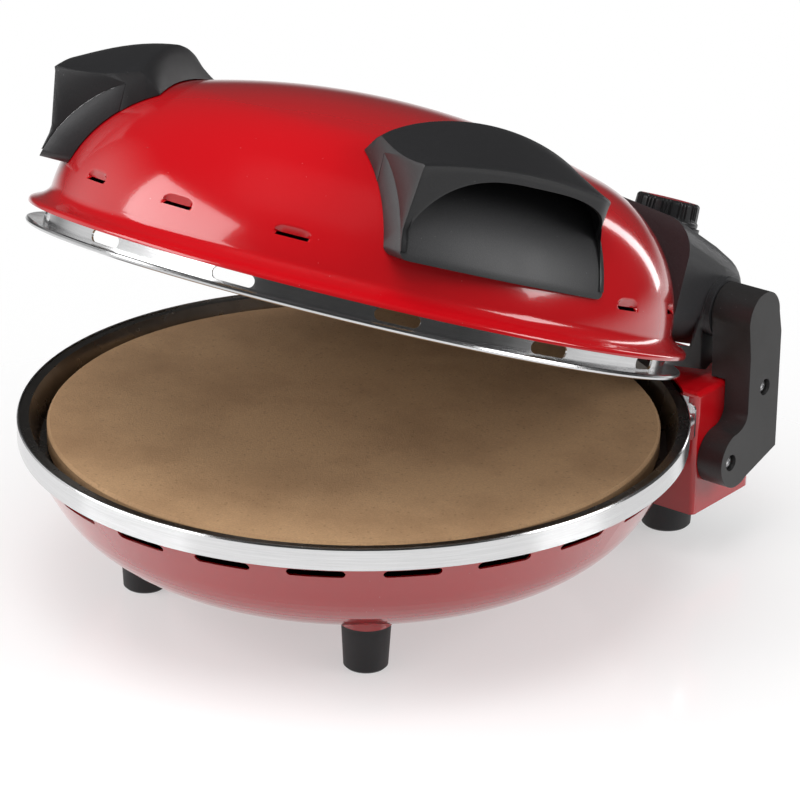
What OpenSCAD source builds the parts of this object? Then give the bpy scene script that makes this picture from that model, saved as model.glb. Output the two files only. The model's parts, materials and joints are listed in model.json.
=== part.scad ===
// Countertop electric pizza oven: a red bowl with a baking stone, and a red domed
// lid that swings on two pins in black arms. Millimetres, +Z up, front at -Y.
// The round axis of the bowl and, with the lid shut, of the dome is x = 0, y = 0.

/* [Base bowl] */
// Outer diameter of the steel rim band
rim_d = 362; // [350:1:380]
// Height of the rim band
rim_h = 12; // [9:1:16]
// Height of the top of the rim band above the table
rim_top = 97; // [92:1:110]
// Clear height of the bowl's floor above the table
foot_h = 26; // [20:1:32]
// Radius of the curve between the bowl's floor and its side
bowl_curve_r = 68; // [50:1:80]
// Lean of the bowl's straight side, from vertical
bowl_lean = 30; // [20:1:35]
// Sheet thickness of the bowl and the tower
shell_wall = 1.5; // [1:0.1:2.5]
// Number of air slots in the bowl's side
slot_count = 13; // [5:2:13]
// Angle from one air slot to the next
slot_step = 16; // [14:0.5:16]
// Length of an air slot
slot_l = 30; // [16:1:34]
// Height of an air slot
slot_h = 5; // [3:0.5:7]

/* [Stone and heaters] */
// Width of the metal ring from the baking stone to the rim's outer edge
stone_ring = 16; // [15:0.5:26]
// Thickness of the baking stone
stone_t = 12; // [8:1:16]
// How far the stone's top lies below the rim
stone_drop = 4; // [2:0.5:6]
// Thickness of the steel reflectors
dish_wall = 0.8; // [0.6:0.1:1.5]
// Diameter of a heating tube
heater_d = 7; // [6:0.5:8]
// Diameter of each heating loop, to the middle of its tube
heater_loop_d = 230; // [180:1:260]

/* [Tower and feet] */
// How far the tower's side stands out past the lid housing's side
tower_ledge = 14; // [11:0.5:18]
// From the tower's side in to the end of the rim band
band_end_in = 10.2; // [9.4:0.2:13]
// Depth of the tower, front to rear
tower_depth = 59; // [56:1:66]
// Height of the tower's top above the table
tower_top = 98; // [92:1:98]
// Radius of the tower's rear corners
tower_corner_r = 7; // [4:0.5:10]
// Radius of the tower's front corners and top edges
tower_edge_r = 3; // [2:0.5:4]
// Diameter of a front foot
front_foot_d = 26; // [20:1:30]
// Diameter of a rear foot
rear_foot_d = 30; // [22:1:34]
// Sideways place of the front feet
front_foot_x = 76; // [60:1:80]
// How far the front feet stand before the bowl's axis
front_foot_y = 85; // [70:1:86]
// Sideways place of the rear feet
rear_foot_x = 96; // [80:1:100]
// How far the rear feet stand behind the tower's front
rear_foot_back = 32; // [28:1:36]

/* [Hinge and arms] */
// Distance of the hinge line behind the tower's front
pivot_back = 39; // [36:1:42]
// Height of the hinge line above the table
pivot_z = 135; // [133:1:140]
// Diameter of a hinge pin
pin_d = 10; // [8:0.5:12]
// Running clearance of a pin in its barrel, on the radius
pin_gap = 0.06; // [0.03:0.01:0.1]
// Thickness of an arm's head
arm_t = 25; // [23:1:29]
// Gap between the lid housing's side and an arm's head
arm_gap = 5; // [5:0.5:8]
// Radius of an arm's rounded head
arm_head_r = 15; // [13:0.5:16]
// Angle at which the lid stands open in the model
lid_open = 21.2; // [0:0.1:60]

/* [Lid] */
// How far the dome's lip lies inside the rim band's outer edge
lip_inset = 2; // [0.5:0.5:6]
// Radius of the dome's shoulder curve
shoulder_r = 77; // [70:1:82]
// Radius of the dome's flat crown curve
crown_r = 400; // [340:5:500]
// Sheet thickness of the dome
dome_wall = 1.2; // [0.8:0.1:2]
// Height of the steel band under the dome
band_h = 13; // [11:0.5:14]
// Gap between the shut lid and the rim
shut_gap = 0.5; // [0.3:0.1:1]
// Number of windows in the band
window_count = 8; // [4:2:8]
// Angle from one window to the next
window_step = 28.8; // [24:0.1:28.8]
// Length of a window
window_l = 23.5; // [14:0.5:30]
// Height of a window
window_h = 6.5; // [4:0.5:7]
// Number of pressed vents across the front of the dome
vent_count = 3; // [1:2:3]
// Angle from one pressed vent to the next
vent_step = 22.6; // [16:0.1:24]
// Number of pressed vents on each side of the dome, behind the handle
side_vent_count = 2; // [0:1:2]

/* [Handles] */
// Turn of each handle's middle line forward of the side of the oven
handle_turn = 23.1; // [20:0.1:26]
// Length of a handle
handle_l = 123; // [110:1:126]
// How far a handle's middle lies before its middle line
handle_shift = 18.5; // [14:0.5:22]
// Wall thickness of a handle's hood
hood_wall = 3; // [2.5:0.1:3.5]
// Thickness of the handle's mounting panel over the dome at its middle
panel_t = 4; // [3:0.1:5]

/* [Rear housing and knob] */
// Width of the rear housing
housing_w = 240; // [232:1:241]
// Radius of the housing's rounded edges
housing_edge_r = 20; // [16:0.5:22]
// Wall thickness of the housing
housing_wall = 2.5; // [2:0.1:3.5]
// Diameter of the control knob
knob_d = 38; // [34:0.5:42]
// Height of the control knob
knob_h = 13; // [10:0.5:18]
// Sideways place of the knob
knob_x = 73; // [60:1:76]
// Number of groups of grooves round the knob
knob_groups = 12; // [8:1:12]

/* [Hidden] */
$fn = 72;

red = "#b40f16";
steel = "#c9ccce";
black = "#1d1d1f";
dark = "#2b2c30";
clay = "#b9865c";

// Clearances: pieces of one body seat with seat_gap, and slip past others with part_gap
seat_gap = 0.1;
part_gap = 0.5;
cut = 1;

// Bowl outline: flat floor, one curve, then a straight leaning side
rim_r = rim_d / 2;
stone_r = rim_r - stone_ring;
band_sheet = 1.2;
bowl_top_z = rim_top - rim_h + 2;
bowl_top_r = rim_r - band_sheet - 0.3;
curve_end = 90 - bowl_lean;
curve_end_z = foot_h + bowl_curve_r * (1 - cos(curve_end));
bowl_floor_r = bowl_top_r - (bowl_top_z - curve_end_z) * tan(bowl_lean) - bowl_curve_r * sin(curve_end);
outline_steps = 14;
function bowl_outline(inset) = concat(
    [[0, foot_h + inset]],
    [for (i = [0 : outline_steps]) let (a = i * curve_end / outline_steps)
        [bowl_floor_r + (bowl_curve_r - inset) * sin(a),
         foot_h + bowl_curve_r - (bowl_curve_r - inset) * cos(a)]],
    [[bowl_top_r - inset / cos(bowl_lean), bowl_top_z]]);

slot_z = bowl_top_z - slot_h / 2 - 4;

// Stone, lower reflector and lower heater
stone_seat = rim_top - stone_drop - stone_t;
dish_flange_z = rim_top - 1.8;
dish_rim_r = stone_r + 9.5;
ledge_outer_r = stone_r + 4;
ledge_inner_r = stone_r - 7;
dish_floor_r = ledge_inner_r - 9;
dish_floor_z = stone_seat - 16;
heater_r = heater_d / 2;
loop_r = heater_loop_d / 2;
heater_lift = 2.2;
lower_heater_z = dish_floor_z + heater_lift + heater_r;
leg_x = 20;
heater_joint = 1;
clip_w = 9;
clip_angles = [30, 150, 270];

// Tower and feet
tower_x = housing_w / 2 + tower_ledge;
tower_front = sqrt(pow(rim_r, 2) - pow(tower_x - band_end_in, 2));
tower_rear = tower_front + tower_depth;
rear_foot_y = tower_front + rear_foot_back;
pivot_y = tower_front + pivot_back;
cover_t = 2.5;
block_w = 60;
block_h = 16;
block_screw_r = 1.6;
block_front = tower_rear - shell_wall - 11;
gland_x = 62;
gland_z = foot_h + 30;
gland_bore_r = 3.6;
gland_neck_r = 6.9;
gland_flange_r = 9.5;
gland_flange_t = 2.5;
gland_l = 2 * gland_flange_t + shell_wall;
foot_screw_r = 2.2;
foot_head_r = 4.2;
foot_recess = 12;
boss_h = 7;

// Rim band tabs and their screws, on the tower's front face
tab_w = 9;
tab_h = 22;
tab_x = tower_x - tab_w / 2 - 0.5;
tab_screw_r = 2;
tab_head_r = 3.2;
tab_z = rim_top - rim_h - tab_head_r - 0.3;

// Arms: side view is a head, a straight post and a forward toe
post_front = pivot_y - 12.4;
post_rear = pivot_y + 17.7;
toe_r = 16;
toe_y = pivot_y - 21;
toe_z = foot_h + 32;
heel_z = foot_h + 28;
arm_fillet_r = 10;
arm_inner_x = housing_w / 2 + arm_gap;
arm_outer_x = arm_inner_x + arm_t;
arm_saddle_z = tower_top + 0.7;
arm_inner_low = tower_x + seat_gap;
arm_screws_yz = [[pivot_y + 3.7, tower_top - 4.6], [pivot_y - 27.3, foot_h + 32.2]];
arm_screw_r = 2.2;
arm_head_screw_r = 4;
arm_recess = 4.5;

// Hinge pins and barrels
pin_r = pin_d / 2;
pin_seat_depth = 20;
pin_reach = 17;
collar_r = arm_head_r + 2;
neck_r = 13;
lug_t = 1.2;
lug_x = housing_w / 2 + seat_gap;
collar_x = lug_x + lug_t + seat_gap;
collar_end = arm_inner_x - part_gap;
barrel_depth = 21;

// Lid frame: z = 0 is the underside of the band, the lid shut on the bowl
lid_z = rim_top + shut_gap;
hinge_z = pivot_z - lid_z;
lip_r = rim_r - lip_inset;
side_foot_r = lip_r - 10;
side_foot_z = band_h + 7;
shoulder_z = band_h + 3.5;
shoulder_x = side_foot_r - sqrt(pow(shoulder_r, 2) - pow(side_foot_z - shoulder_z, 2));
crown_z = shoulder_z - sqrt(pow(crown_r - shoulder_r, 2) - pow(shoulder_x, 2));
crown_turn = asin(shoulder_x / (crown_r - shoulder_r));
side_turn = asin((side_foot_z - shoulder_z) / shoulder_r);
dome_cut_y = tower_front - 5;
vent_z = band_h + 21;
vent_l = 18;
vent_h = 2.6;
vent_places = concat([for (i = [0 : vent_count - 1]) i - (vent_count - 1) / 2],
    [for (i = [0 : 1 : side_vent_count - 1]) each [4 + i, -4 - i]]);

// Radius of the dome's outside at height z, and its height at radius r
function dome_r(z) = shoulder_x + sqrt(pow(shoulder_r, 2) - pow(z - shoulder_z, 2));
function dome_z(r) = r < crown_r * sin(crown_turn)
    ? crown_z + sqrt(pow(crown_r, 2) - pow(r, 2))
    : shoulder_z + sqrt(pow(shoulder_r, 2) - pow(r - shoulder_x, 2));

// Outline of the dome, inset by t, from the lip up to the axis
side_steps = 16;
crown_steps = 6;
function dome_outline(t) = concat(
    [[lip_r - t, band_h - 2.2], [lip_r - t, band_h - 0.8], [lip_r - 0.6 - t, band_h + 0.3 - t * 0.5],
     [lip_r - 2.4 - t * 0.6, band_h + 1.3 - t * 0.8], [lip_r - 5.6 - t * 0.6, band_h + 2.8 - t * 0.8],
     [lip_r - 8.4 - t * 0.8, band_h + 4.9 - t * 0.6]],
    [for (i = [0 : side_steps]) let (a = side_turn + i * (90 - crown_turn - side_turn) / side_steps)
        [shoulder_x + (shoulder_r - t) * cos(a), shoulder_z + (shoulder_r - t) * sin(a)]],
    [for (i = [1 : crown_steps]) let (a = crown_turn * (1 - i / crown_steps))
        [(crown_r - t) * sin(a), crown_z + (crown_r - t) * cos(a)]]);
function reversed(list) = [for (i = [len(list) - 1 : -1 : 0]) list[i]];

// Upper reflector and heater, in the lid frame
upper_flange_z = band_h - 0.1;
upper_dish_r = lip_r - 21;
upper_dish_top_r = loop_r + 10;
upper_dish_top_z = band_h + 42;
upper_heater_z = upper_dish_top_z - heater_lift - heater_r;
upper_flange_r = lip_r - 11;

// Rear housing, in the lid frame: balls of the edge radius at the corners of its form
ball = housing_edge_r;
side_x = housing_w / 2 - ball;
rear_ball_reach = 16;
rear_ball_turn = 30;
crown_x = 0.3 * side_x;
housing_split_z = band_h + 3;
housing_corners = [
    [side_x, dome_cut_y, 60], [crown_x, dome_cut_y, 67.5],
    [side_x, pivot_y - 1, 50], [crown_x, pivot_y - 1, 53],
    [side_x, pivot_y + rear_ball_reach * cos(rear_ball_turn),
        hinge_z + rear_ball_reach * sin(rear_ball_turn)],
    [side_x, pivot_y + 9, band_h - 1 + ball], [side_x, dome_cut_y, band_h - 1 + ball]
];

// Knob and thermostat, in the lid frame
knob_r = knob_d / 2;
knob_y = pivot_y - 1;
boss_r = knob_r + 1.5;
boss_top = 74;
well_gap = 1;
dial_outer_r = knob_r - 7.5;
dial_inner_r = knob_r - 10.5;
shaft_r = 3;
shaft_gap = 0.06;
thermostat_r = 14;
thermostat_base = 40;
thermostat_top = 62;
shaft_foot = 52;
shaft_top = boss_top + 8;

// Middle of the model's length, so that the origin is under the middle of its box
rear_reach = pivot_y + rear_ball_reach * cos(rear_ball_turn - lid_open) + ball;
mid_y = (rear_reach - rim_r) / 2;

// Placing: everything is drawn about the bowl's axis and moved to the model's middle
module placed() {
    translate([0, -mid_y, 0]) children();
}

// A lid piece, drawn shut, swung open about the hinge line
module in_lid() {
    placed() translate([0, pivot_y, pivot_z]) rotate([-lid_open, 0, 0])
        translate([0, -pivot_y, lid_z - pivot_z]) children();
}

module right_side() {
    children();
}

module left_side() {
    mirror([1, 0, 0]) children();
}

module both_sides() {
    right_side() children();
    left_side() children();
}

// A cylinder along +X from x0 to x1
module rod_x(x0, x1, r) {
    translate([x0, 0, 0]) rotate([0, 90, 0]) cylinder(h = x1 - x0, r = r);
}

// A cylinder along +Y from y0 to y1
module rod_y(y0, y1, r) {
    translate([0, y1, 0]) rotate([90, 0, 0]) cylinder(h = y1 - y0, r = r);
}

module box(low, high) {
    translate(low) cube(high - low);
}

// A rectangle between two corners, with rounded corners
module round_rect(low, high, r) {
    translate([low[0] + r, low[1]]) square([high[0] - low[0] - 2 * r, high[1] - low[1]]);
    translate([low[0], low[1] + r]) square([high[0] - low[0], high[1] - low[1] - 2 * r]);
    for (x = [low[0] + r, high[0] - r])
        for (y = [low[1] + r, high[1] - r])
            translate([x, y]) circle(r = r);
}

// A slot with round ends, lying along X, its middle at the origin
module slot2d(l, h) {
    square([l - h, h], center = true);
    for (s = [-1, 1]) translate([s * (l - h) / 2, 0]) circle(r = h / 2);
}

// A slot cut outwards through a wall round the Z axis; turn 0 faces the front
module wall_slot(turn, r0, r1, z, l, h) {
    rotate([0, 0, turn]) translate([0, -r0, z]) rotate([90, 0, 0])
        linear_extrude(height = r1 - r0) slot2d(l, h);
}

// ---- Base ----

module bowl_solid(inset) {
    rotate_extrude() polygon(concat(bowl_outline(inset), [[0, bowl_top_z]]));
}

module tower_plan(inset) {
    x = tower_x - inset;
    y0 = tower_front + inset;
    round_rect([-x, y0], [x, (tower_front + tower_rear) / 2], tower_edge_r - inset);
    round_rect([-x, y0], [x, tower_rear - inset], tower_corner_r - inset);
}

// The tower's block form: rounded upright corners and rounded top edges
module tower_form(inset, low_z) {
    x = tower_x - inset;
    y0 = tower_front + inset;
    y1 = tower_rear - inset;
    r = tower_edge_r - inset;
    intersection() {
        translate([0, 0, low_z]) linear_extrude(height = tower_top) tower_plan(inset);
        translate([0, tower_rear + cut, 0]) rotate([90, 0, 0])
            linear_extrude(height = tower_rear - tower_front + 2 * cut)
                round_rect([-x, -tower_top], [x, tower_top - inset], r);
        translate([-tower_x - cut, 0, 0]) rotate([90, 0, 90])
            linear_extrude(height = 2 * (tower_x + cut))
                round_rect([y0, -tower_top], [y1, tower_top - inset], r);
    }
}

module tower_shell() {
    difference() {
        tower_form(0, foot_h);
        tower_form(shell_wall, foot_h - cut);
        bowl_solid(shell_wall / 2);
        translate([0, 0, bowl_top_z - cut]) cylinder(h = tower_top, r = rim_r + part_gap);
    }
}

module bowl_shell() {
    difference() {
        rotate_extrude() polygon(concat(bowl_outline(0), reversed(bowl_outline(shell_wall))));
        for (i = [0 : slot_count - 1])
            wall_slot((i - (slot_count - 1) / 2) * slot_step, dish_rim_r - 8, rim_r, slot_z, slot_l, slot_h);
    }
}

module front_foot_places() {
    both_sides() translate([front_foot_x, -front_foot_y, 0]) children();
}

module rear_foot_places() {
    both_sides() translate([rear_foot_x, rear_foot_y, 0]) children();
}

module base_shell() color(red) placed() difference() {
    union() {
        bowl_shell();
        tower_shell();
        front_foot_places() translate([0, 0, foot_h]) cylinder(h = boss_h, r = front_foot_d / 2 + 1.5);
    }
    front_foot_places() translate([0, 0, foot_h - cut]) cylinder(h = boss_h, r = foot_screw_r);
    both_sides() translate([leg_x, 0, lower_heater_z]) rod_y(loop_r, tower_rear - 10, heater_r + part_gap);
    translate([gland_x, 0, gland_z]) rod_y(tower_rear - 10, tower_rear + cut, gland_neck_r + seat_gap);
    both_sides() translate([tab_x, 0, tab_z]) rod_y(tower_front - cut, tower_front + 10, tab_screw_r);
    both_sides() for (p = arm_screws_yz) translate([0, p[0], p[1]])
        rod_x(tower_x - 10, tower_x + cut, arm_screw_r);
}

module tower_bottom_cover() color(black) placed() difference() {
    translate([0, 0, foot_h]) linear_extrude(height = cover_t) tower_plan(shell_wall + seat_gap);
    rear_foot_places() translate([0, 0, foot_h - cut]) cylinder(h = cover_t + 2 * cut, r = foot_screw_r);
}

// The rim band stops where it meets the tower and turns out into two flat tabs
module rim_band() color(steel) placed() {
    turn = asin((tower_front - band_sheet / 2) / rim_r);
    rotate([0, 0, 180 - turn]) rotate_extrude(angle = 180 + 2 * turn) polygon([
        [rim_r, rim_top - rim_h], [rim_r, rim_top - 1], [rim_r - 0.5, rim_top - 0.2],
        [rim_r - 1.1, rim_top], [rim_r - band_sheet, rim_top - 1],
        [rim_r - band_sheet, dish_flange_z], [rim_r - 5, dish_flange_z],
        [rim_r - 5, dish_flange_z - 0.9], [rim_r - band_sheet, dish_flange_z - 0.9],
        [rim_r - band_sheet, rim_top - rim_h]]);
    tab_in = rim_r * cos(turn) - 1;
    both_sides() difference() {
        translate([0, tower_front - seat_gap, 0]) rotate([90, 0, 0]) linear_extrude(height = band_sheet) {
            translate([tab_in, rim_top - rim_h]) square([tab_x - tab_in, rim_h - 1]);
            round_rect([tab_x - tab_w / 2, tab_z - tab_h / 2], [tab_x + tab_w / 2, tab_z + tab_h / 2], 4);
        }
        translate([tab_x, 0, tab_z]) rod_y(tower_front - 5, tower_front + 5, tab_screw_r + seat_gap);
        translate([0, 0, rim_top - 2 * tab_h]) cylinder(h = 3 * tab_h, r = rim_r - band_sheet);
    }
}

module rim_band_screws() color(steel) placed() both_sides() translate([tab_x, 0, tab_z]) difference() {
    head_face = tower_front - seat_gap - band_sheet;
    union() {
        rod_y(head_face - 2, head_face, tab_head_r);
        rod_y(head_face - cut, tower_front + 6, tab_screw_r);
    }
    for (a = [0, 90]) rotate([0, a, 0]) box([-3, head_face - 3, -0.5], [3, head_face - 1, 0.5]);
}

module lower_reflector() color("#3a3a3c") placed() difference() {
    t = dish_wall;
    rotate_extrude() polygon([
        [0, dish_floor_z], [0, dish_floor_z - t], [dish_floor_r + t, dish_floor_z - t],
        [ledge_inner_r + t, stone_seat - t], [ledge_outer_r + t, stone_seat - t],
        [dish_rim_r + t, dish_flange_z + seat_gap], [rim_r - band_sheet - 0.2, dish_flange_z + seat_gap],
        [rim_r - band_sheet - 0.2, dish_flange_z + seat_gap + t], [dish_rim_r, dish_flange_z + seat_gap + t],
        [ledge_outer_r, stone_seat], [ledge_inner_r, stone_seat], [dish_floor_r, dish_floor_z]]);
    both_sides() translate([leg_x, 0, lower_heater_z]) rod_y(loop_r, rim_r, heater_r + 0.3);
}

module baking_stone() color(clay) placed() translate([0, 0, stone_seat]) {
    edge = 1.5;
    rotate_extrude() polygon([[0, 0], [stone_r - edge, 0], [stone_r, edge],
        [stone_r, stone_t - edge], [stone_r - edge, stone_t], [0, stone_t]]);
}

// A round heating loop, open at the back, brazed at two round joints to its straight legs
module heater(z, leg_end) {
    open = asin(leg_x / loop_r);
    joint_y = loop_r * cos(open);
    translate([0, 0, z]) {
        rotate([0, 0, 90 + open]) rotate_extrude(angle = 360 - 2 * open)
            translate([loop_r, 0]) circle(r = heater_r);
        for (x = [-leg_x, leg_x]) translate([x, 0, 0]) {
            translate([0, joint_y, 0]) sphere(r = heater_r + heater_joint);
            rod_y(joint_y, leg_end, heater_r);
        }
    }
}

// Saddles that hold a heating loop to a reflector; side is 1 above it and -1 below it
module heater_clips(z, side) {
    h = heater_lift + heater_d + 1.2;
    for (a = clip_angles) rotate([0, 0, a]) translate([loop_r, 0, z]) difference() {
        translate([0, 0, side * h / 2]) cube([heater_d + 5, clip_w, h], center = true);
        translate([0, 0, side * (heater_lift + heater_r)]) rod_y(-clip_w, clip_w, heater_r + 0.2);
    }
}

module lower_heater() color("#55504c") placed() heater(lower_heater_z, block_front - seat_gap);

module lower_heater_clips() color(steel) placed() heater_clips(dish_floor_z + seat_gap / 2, 1);

module base_terminal_block() color("#e4dfd0") placed() difference() {
    box([-block_w / 2, block_front, lower_heater_z - block_h / 2],
        [block_w / 2, tower_rear - shell_wall - seat_gap, lower_heater_z + block_h / 2]);
    for (x = [-2 * leg_x, 0, 2 * leg_x] / 3)
        translate([x, 0, lower_heater_z + block_h / 4])
            rod_y(block_front - cut, block_front + 5, block_screw_r);
}

// Rubber inlet for the cord in the tower's rear wall
module cord_gland() color(black) placed()
    translate([gland_x, tower_rear - shell_wall - gland_flange_t, gland_z])
    difference() {
        union() {
            rod_y(0, gland_flange_t - seat_gap, gland_flange_r);
            rod_y(0, gland_l, gland_neck_r);
            rod_y(gland_l - gland_flange_t + seat_gap, gland_l, gland_flange_r);
        }
        rod_y(-cut, gland_l + cut, gland_bore_r);
    }

module foot(d) {
    difference() {
        rotate_extrude() polygon([[0, 0], [d / 2 - 2.4, 0], [d / 2 - 1.2, 1.2],
            [d / 2, foot_h - 4], [d / 2, foot_h - seat_gap], [0, foot_h - seat_gap]]);
        translate([0, 0, -cut]) cylinder(h = foot_recess + cut, r = foot_head_r + 0.8);
        cylinder(h = foot_h, r = foot_screw_r + 0.2);
    }
}

module front_foot() translate([front_foot_x, -front_foot_y, 0]) foot(front_foot_d);

module rear_foot() translate([rear_foot_x, rear_foot_y, 0]) foot(rear_foot_d);

module front_foot_left() color(black) placed() left_side() front_foot();

module front_foot_right() color(black) placed() front_foot();

module rear_foot_left() color(black) placed() left_side() rear_foot();

module rear_foot_right() color(black) placed() rear_foot();

module foot_screw(l) {
    translate([0, 0, foot_recess - 3]) cylinder(h = 3 - seat_gap, r = foot_head_r);
    translate([0, 0, foot_recess - 1]) cylinder(h = l, r = foot_screw_r);
}

module foot_screws() color(steel) placed() {
    front_foot_places() foot_screw(foot_h - foot_recess + boss_h - 1);
    rear_foot_places() foot_screw(foot_h - foot_recess + cover_t + 1);
}

// Side view of an arm, drawn in the Y-Z plane: head, post, and toe with its fillet
module arm_side() {
    translate([pivot_y, pivot_z]) circle(r = arm_head_r);
    polygon([[pivot_y - arm_head_r, pivot_z], [post_front, pivot_z - 20], [post_front, toe_z],
        [toe_y, toe_z], [toe_y, toe_z - toe_r], [post_rear, heel_z],
        [post_rear, pivot_z - 12], [pivot_y + arm_head_r, pivot_z]]);
    translate([toe_y, toe_z]) circle(r = toe_r);
    fillet_y = post_front - arm_fillet_r;
    fillet_z = toe_z + sqrt(pow(toe_r + arm_fillet_r, 2) - pow(toe_y - fillet_y, 2));
    difference() {
        polygon([[fillet_y, fillet_z], [post_front, fillet_z], [post_front, toe_z], [toe_y, toe_z]]);
        translate([fillet_y, fillet_z]) circle(r = arm_fillet_r);
    }
}

module along_x(x0, x1) {
    translate([x0, 0, 0]) rotate([90, 0, 90]) linear_extrude(height = x1 - x0) children();
}

// The arm stands against the tower's side and reaches in over its top edge
module arm() {
    difference() {
        union() {
            along_x(arm_inner_low, arm_outer_x) arm_side();
            along_x(arm_inner_x, arm_outer_x) intersection() {
                arm_side();
                translate([pivot_y - 40, arm_saddle_z]) square([80, 80]);
            }
        }
        translate([0, pivot_y, pivot_z]) rod_x(arm_inner_x - cut, arm_inner_x + pin_seat_depth, pin_r);
        for (p = arm_screws_yz) translate([0, p[0], p[1]]) {
            rod_x(arm_inner_x - cut, arm_outer_x, arm_screw_r + seat_gap);
            rod_x(arm_outer_x - arm_recess, arm_outer_x + cut, arm_head_screw_r + 0.6);
        }
    }
}

module arm_screw_pair() {
    for (p = arm_screws_yz) translate([0, p[0], p[1]]) difference() {
        union() {
            rod_x(tower_x - shell_wall - 4, arm_outer_x - arm_recess, arm_screw_r);
            rod_x(arm_outer_x - arm_recess + seat_gap, arm_outer_x - 1.5, arm_head_screw_r);
        }
        for (a = [45, 135]) rotate([a, 0, 0])
            box([arm_outer_x - 2.7, -0.5, -2.8], [arm_outer_x, 0.5, 2.8]);
    }
}

module arm_left() color(black) placed() left_side() arm();

module arm_right() color(black) placed() arm();

module arm_screws_left() color(steel) placed() left_side() arm_screw_pair();

module arm_screws_right() color(steel) placed() arm_screw_pair();

module hinge_pin() translate([0, pivot_y, pivot_z])
    rod_x(arm_inner_x - pin_reach, arm_inner_x + pin_seat_depth - seat_gap, pin_r);

module hinge_pin_left() color(steel) placed() left_side() hinge_pin();

module hinge_pin_right() color(steel) placed() hinge_pin();

// ---- Lid ----

module dome_solid(inset) {
    rotate_extrude() polygon(concat([[0, band_h - 2.2]], dome_outline(inset)));
}

module behind(y) {
    box([-2 * lip_r, y, -2 * lip_r], [2 * lip_r, 4 * lip_r, 2 * lip_r]);
}

module lid_dome() color(red) in_lid() difference() {
    rotate_extrude() polygon(concat(dome_outline(0), reversed(dome_outline(dome_wall))));
    behind(dome_cut_y - seat_gap);
    for (i = vent_places)
        wall_slot(i * vent_step, upper_dish_r, lip_r, vent_z, vent_l, vent_h);
}

// Side view of a band end: a strip that runs back and rises into an eye round the barrel
module band_lug_side() {
    strip_top = band_h;
    translate([pivot_y, hinge_z]) circle(r = neck_r + 4);
    polygon([[lug_start_y, 1.5], [pivot_y, 1.5],
        [pivot_y + neck_r + 4, hinge_z - neck_r - 8], [pivot_y + neck_r + 4, hinge_z],
        [pivot_y - neck_r - 4, hinge_z], [pivot_y - neck_r - 8, strip_top], [lug_start_y, strip_top]]);
}
band_wall_r = lip_r - 10;
lug_start_y = sqrt(pow(band_wall_r - band_sheet, 2) - pow(lug_x + lug_t, 2));

// The lower band of the lid: rolled foot, wall with windows, top flange, and two hinge lugs
module lid_band() color(steel) in_lid() {
    t = band_sheet;
    w = band_wall_r;
    difference() {
        rotate_extrude() polygon([
            [w - t, 0.4], [w - t + 0.4, 0], [lip_r - 2, 0], [lip_r - 1, 0.5], [lip_r - 0.6, 1.5],
            [lip_r - 1, 2.5], [lip_r - 2, 3], [w, 3], [w, band_h - 2],
            [lip_r - 1.6, band_h - 2], [lip_r - 1.6, band_h - 1], [w - 8, band_h - 1],
            [w - 8, band_h - 2], [w - t, band_h - 2]]);
        behind(lug_start_y + 1);
        for (i = [0 : window_count - 1])
            wall_slot((i - (window_count - 1) / 2) * window_step, w - 5, w + 4,
                3 + (band_h - 5) / 2, window_l, min(window_h, band_h - 6));
    }
    both_sides() difference() {
        along_x(lug_x, lug_x + lug_t) band_lug_side();
        translate([0, pivot_y, hinge_z]) rod_x(lug_x - cut, lug_x + 5, neck_r + seat_gap);
    }
}

module upper_reflector() color("#d4d6d8") in_lid() difference() {
    t = dish_wall;
    z0 = upper_flange_z - 0.9;
    rotate_extrude() polygon([
        [0, upper_dish_top_z], [upper_dish_top_r, upper_dish_top_z],
        [upper_dish_r - t, z0 + seat_gap], [upper_flange_r, z0 + seat_gap],
        [upper_flange_r, z0 + seat_gap + t], [upper_dish_r, z0 + seat_gap + t],
        [upper_dish_top_r + t, upper_dish_top_z + t], [0, upper_dish_top_z + t]]);
    both_sides() translate([leg_x, 0, upper_heater_z]) rod_y(loop_r, lip_r, heater_r + 0.3);
}

lid_block_front = band_wall_r + 4;
lid_block_t = 7.5;
module upper_heater() color("#55504c") in_lid() heater(upper_heater_z, lid_block_front - seat_gap);

module upper_heater_clips() color(steel) in_lid() heater_clips(upper_dish_top_z - seat_gap / 2, -1);

// A barrel turns on each hinge pin: a neck through the housing wall and the lug, and a collar
module hinge_barrel() translate([0, pivot_y, hinge_z]) difference() {
    union() {
        rod_x(collar_end - barrel_depth - 4, collar_x + cut, neck_r);
        rod_x(collar_x, collar_end, collar_r);
    }
    rod_x(collar_end - barrel_depth, collar_end + cut, pin_r + pin_gap);
}

module hinge_barrel_left() color(dark) in_lid() left_side() hinge_barrel();

module hinge_barrel_right() color(dark) in_lid() hinge_barrel();

// ---- Handles: lofts through sections across the handle, [out from the axis, along, up] ----

handle_half = handle_l / 2;
handle_mid = -handle_shift;
front_end = handle_mid - handle_half;
rear_end = handle_mid + handle_half;
panel_foot_z = band_h + 23;
arch_foot_z = panel_foot_z + 4;
arch_rise = 48;
panel_taper = 8;
dome_seat = 0.7;
ridge_u = lip_r - 58.5;
foot_u = lip_r - 72;
leaf_u = lip_r - 14;
leaf_z = band_h + 71;
wall_lean = 0.17;
end_step = 0.1;

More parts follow.
